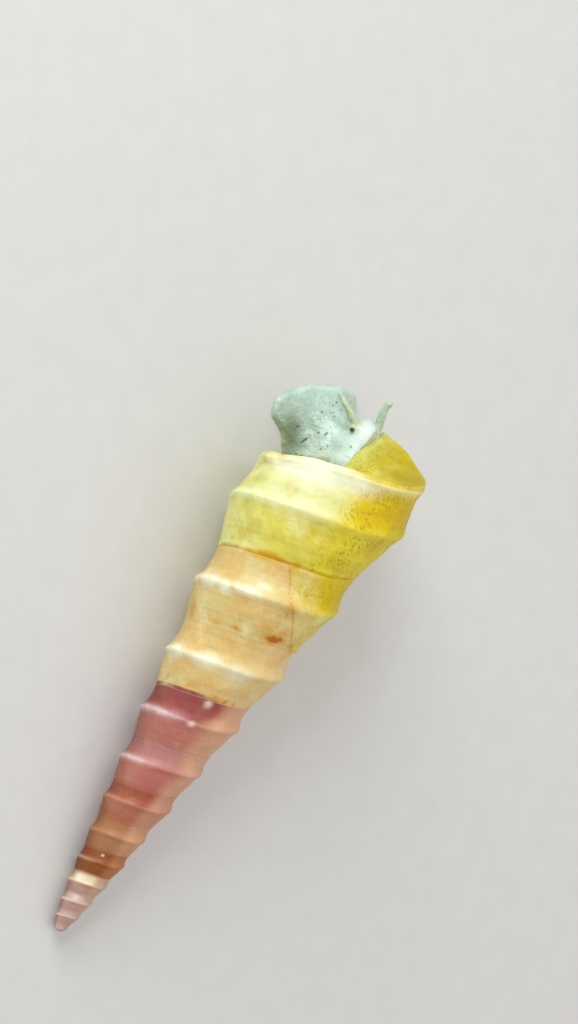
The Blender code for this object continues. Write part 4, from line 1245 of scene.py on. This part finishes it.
def build_flesh(mouth):
    field, low = flesh_field(mouth)
    points, quads = surface_net(field, low, FLESH_STEP)
    points = ease(points, quads, 6)
    obj = new_object("flesh", points, quads)
    on_floor = points[:, 2] < 0.12
    push = 0.050 * rough(points, 1.3, 61) + 0.018 * rough(points, 0.35, 67, 2)
    folds = rough(points * np.array((1.0, 1.0, 0.30)), 0.8, 79, 2)
    push += FOLD_DEPTH * folds * smooth_step((points[:, 2] - 0.6) / 1.2)
    points = points + mesh_normals(obj) * np.where(on_floor, 0.0, push)[:, None]
    points[:, 2] = np.maximum(points[:, 2], 0.0)
    move_points(obj, points)
    x, y = in_picture(points)
    turn, _ = camera_pose()
    facing = mesh_normals(obj) @ np.array(turn)[:, 2]
    seen = smooth_step(facing / 0.25) * (points[:, 2] > 0.3)
    masks = {"fleck": fleck_strength(x, y, seen), "feeler": feeler_share(points)}
    # Broad tints from the picture, carrying painted shade and painted highlight
    for key, blots in FLESH_BLOTS.items():
        total = np.zeros(len(x))
        for centre_x, centre_y, half_x, half_y, strength in blots:
            away = ((x - centre_x) / half_x) ** 2 + ((y - centre_y) / half_y) ** 2
            total = np.maximum(total, strength * np.exp(-away))
        masks[key] = total * smooth_step(facing / 0.3 + 0.2) * smooth_step(points[:, 2] / 0.4)
    set_masks(obj, masks)
    obj.data.materials.append(flesh_material())
    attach(obj, "root")
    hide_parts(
        "mantle_collar", "neck", "head", "snout", "tentacle_left", "tentacle_right", "foot", "propodium"
    )


def revolved(profile, around):
    """Points and quads of a profile of radius and height turned round the z axis, closed."""
    azimuth = TAU * np.arange(around) / around
    points = [
        np.column_stack((radius * np.cos(azimuth), radius * np.sin(azimuth), np.full(around, height)))
        for radius, height in profile
    ]
    return np.concatenate(points), tube_quads(len(profile), around)


def eye_material(name):
    p = Paint(name)
    base = p.mix(p.fit(p.grain(EYE_CLOUDS), 0.4, 0.6), EYE_BLACK, EYE_BROWN)
    return p.finish(Base_Color=base, Roughness=0.12, Coat_Weight=1.0, Coat_Roughness=0.04)


def build_eyes():
    for name, centre in EYES.items():
        bow = np.linspace(-0.5 * math.pi, 0.5 * math.pi, EYE_ROWS)
        bow[0] += EYE_POLE
        bow[-1] -= EYE_POLE
        points, quads = revolved(EYE_RADIUS * np.column_stack((np.cos(bow), np.sin(bow))), EYE_AROUND)
        obj = new_object(name + "_globe", points + np.array(centre), quads)
        obj.data.materials.append(eye_material(name))
        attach(obj, "root")
        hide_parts(name)


def horn_material():
    """Brown horn, darker in its spiral grooves and clearer at the edge."""
    p = Paint("horn")
    fine = p.grain(HORN_GRAIN, 4.0)
    base = p.mix(p.fit(p.mask("ridge"), 0.1, 0.9), HORN_DARK, HORN_BROWN)
    base = p.mix(p.fit(p.mask("reach"), 0.80, 1.0, 0.0, 0.6), base, HORN_EDGE)
    base = p.mix(p.fit(fine, 0.35, 0.65, 0.0, 0.35), base, HORN_SPECKS)
    matt = p.fit(fine, 0.3, 0.7, 0.28, 0.44)
    return p.finish(Base_Color=base, Roughness=matt, Normal=p.bumps(fine, 0.03))


def build_operculum():
    """The thin horny lid on the foot's back end, wound in many narrow turns."""
    share = np.linspace(0.0, 1.0, OPERCULUM_ROWS)
    radius = np.maximum(OPERCULUM_RADIUS * share, 0.004)
    dish = OPERCULUM_DISH * (1.0 - share)
    under = np.column_stack((radius, -0.5 * OPERCULUM_THICKNESS - dish))
    top = np.column_stack((radius, 0.5 * OPERCULUM_THICKNESS - dish))
    bend = np.linspace(0.2, math.pi - 0.2, 9)
    rim = np.column_stack((OPERCULUM_RADIUS + OPERCULUM_BULGE * np.sin(bend), -0.25 * np.cos(bend)))
    points, quads = revolved(np.concatenate((under, rim, top[::-1])), OPERCULUM_AROUND)
    swirl = np.arctan2(points[:, 1], points[:, 0])
    reach = np.hypot(points[:, 0], points[:, 1])
    share = reach / OPERCULUM_RADIUS
    turns = OPERCULUM_TURNS * share - swirl / TAU
    ridge = np.abs(np.sin(math.pi * turns))
    points[:, 2] += (points[:, 2] > 0.0) * OPERCULUM_RIDGE * (ridge - 0.5) * (1.0 - share**12)
    points[:, 2] += OPERCULUM_WAVE * np.sin(swirl * 3.0) * share**2
    pitch = math.radians(OPERCULUM_PITCH)
    out = HEADING * -math.sin(pitch) + np.array((0.0, 0.0, math.cos(pitch)))
    up = HEADING * math.cos(pitch) + np.array((0.0, 0.0, math.sin(pitch)))
    side = np.cross(out, up)
    points = points[:, :1] * up + points[:, 1:2] * side + points[:, 2:] * out
    centre = HEADING * OPERCULUM_AT[0] + np.array((0.0, 0.0, OPERCULUM_AT[1]))
    obj = new_object("operculum_lid", points + centre, quads)
    set_masks(obj, {"ridge": ridge, "reach": share})
    obj.data.materials.append(horn_material())
    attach(obj, "root")
    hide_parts("operculum")


def build_object():
    mouth = build_shell()
    build_columella()
    build_flesh(mouth)
    build_eyes()
    build_operculum()


def camera_pose():
    """The camera's axes and its place, from the shell's axis as the photograph shows it."""
    toward = LEFT * math.cos(CAMERA_SIDE) + OVER * math.sin(CAMERA_SIDE)
    toward = toward - AXIS * (toward @ AXIS)
    toward /= np.linalg.norm(toward)
    aside = np.cross(AXIS, toward)
    c, s = math.cos(AXIS_IN_PICTURE), math.sin(AXIS_IN_PICTURE)
    right = AXIS * s + aside * c
    up = AXIS * c - aside * s
    aim = (APEX + AXIS * AIM_HEIGHT + aside * AIM_ASIDE) * MM
    return np.column_stack((right, up, toward)), aim + toward * CAMERA_DISTANCE


def add_camera():
    turn, place = camera_pose()
    data = bpy.data.cameras.new("camera")
    data.sensor_width = SENSOR
    data.lens = SENSOR / PICTURE_HEIGHT_AT_AIM * CAMERA_DISTANCE
    data.clip_start = 0.01
    obj = bpy.data.objects.new("camera", data)
    matrix = Matrix(turn.tolist()).to_4x4()
    matrix.translation = Vector(place)
    obj.matrix_world = matrix
    bpy.context.scene.collection.objects.link(obj)
    bpy.context.scene.camera = obj


def add_light(name, toward, size, power, tint):
    """An area light on one side of the model, aimed at it."""
    data = bpy.data.lights.new(name, "AREA")
    data.size = size
    data.energy = power
    data.color = tint
    obj = bpy.data.objects.new(name, data)
    way = Vector(toward).normalized()
    obj.location = Vector(LIGHT_AIM) * MM + way * LIGHT_DISTANCE
    obj.rotation_euler = way.to_track_quat("Z", "Y").to_euler()
    bpy.context.scene.collection.objects.link(obj)


def add_lights():
    for name, toward, size, power, tint in LIGHTS:
        add_light(name, toward, size, power, tint)
    world = bpy.data.worlds.new("world")
    world.use_nodes = True
    background = world.node_tree.nodes["Background"]
    background.inputs["Color"].default_value = (*WORLD_TINT, 1.0)
    background.inputs["Strength"].default_value = WORLD_STRENGTH
    bpy.context.scene.world = world
    bpy.context.scene.view_settings.view_transform = "Standard"


def add_floor():
    corners = [(x * FLOOR_REACH, y * FLOOR_REACH, 0.0) for x, y in ((-1, -1), (1, -1), (1, 1), (-1, 1))]
    mesh = bpy.data.meshes.new("floor")
    mesh.from_pydata(corners, [], [(0, 1, 2, 3)])
    obj = bpy.data.objects.new("floor", mesh)
    bpy.context.scene.collection.objects.link(obj)
    p = Paint("floor")
    base = p.mix(p.grain(FLOOR_CLOUDS, 4.0), FLOOR_GREY, FLOOR_PALE)
    mesh.materials.append(p.finish(Base_Color=base, Roughness=0.85))


def main():
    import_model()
    build_object()
    add_floor()
    add_lights()
    add_camera()
    bpy.context.view_layer.update()


main()
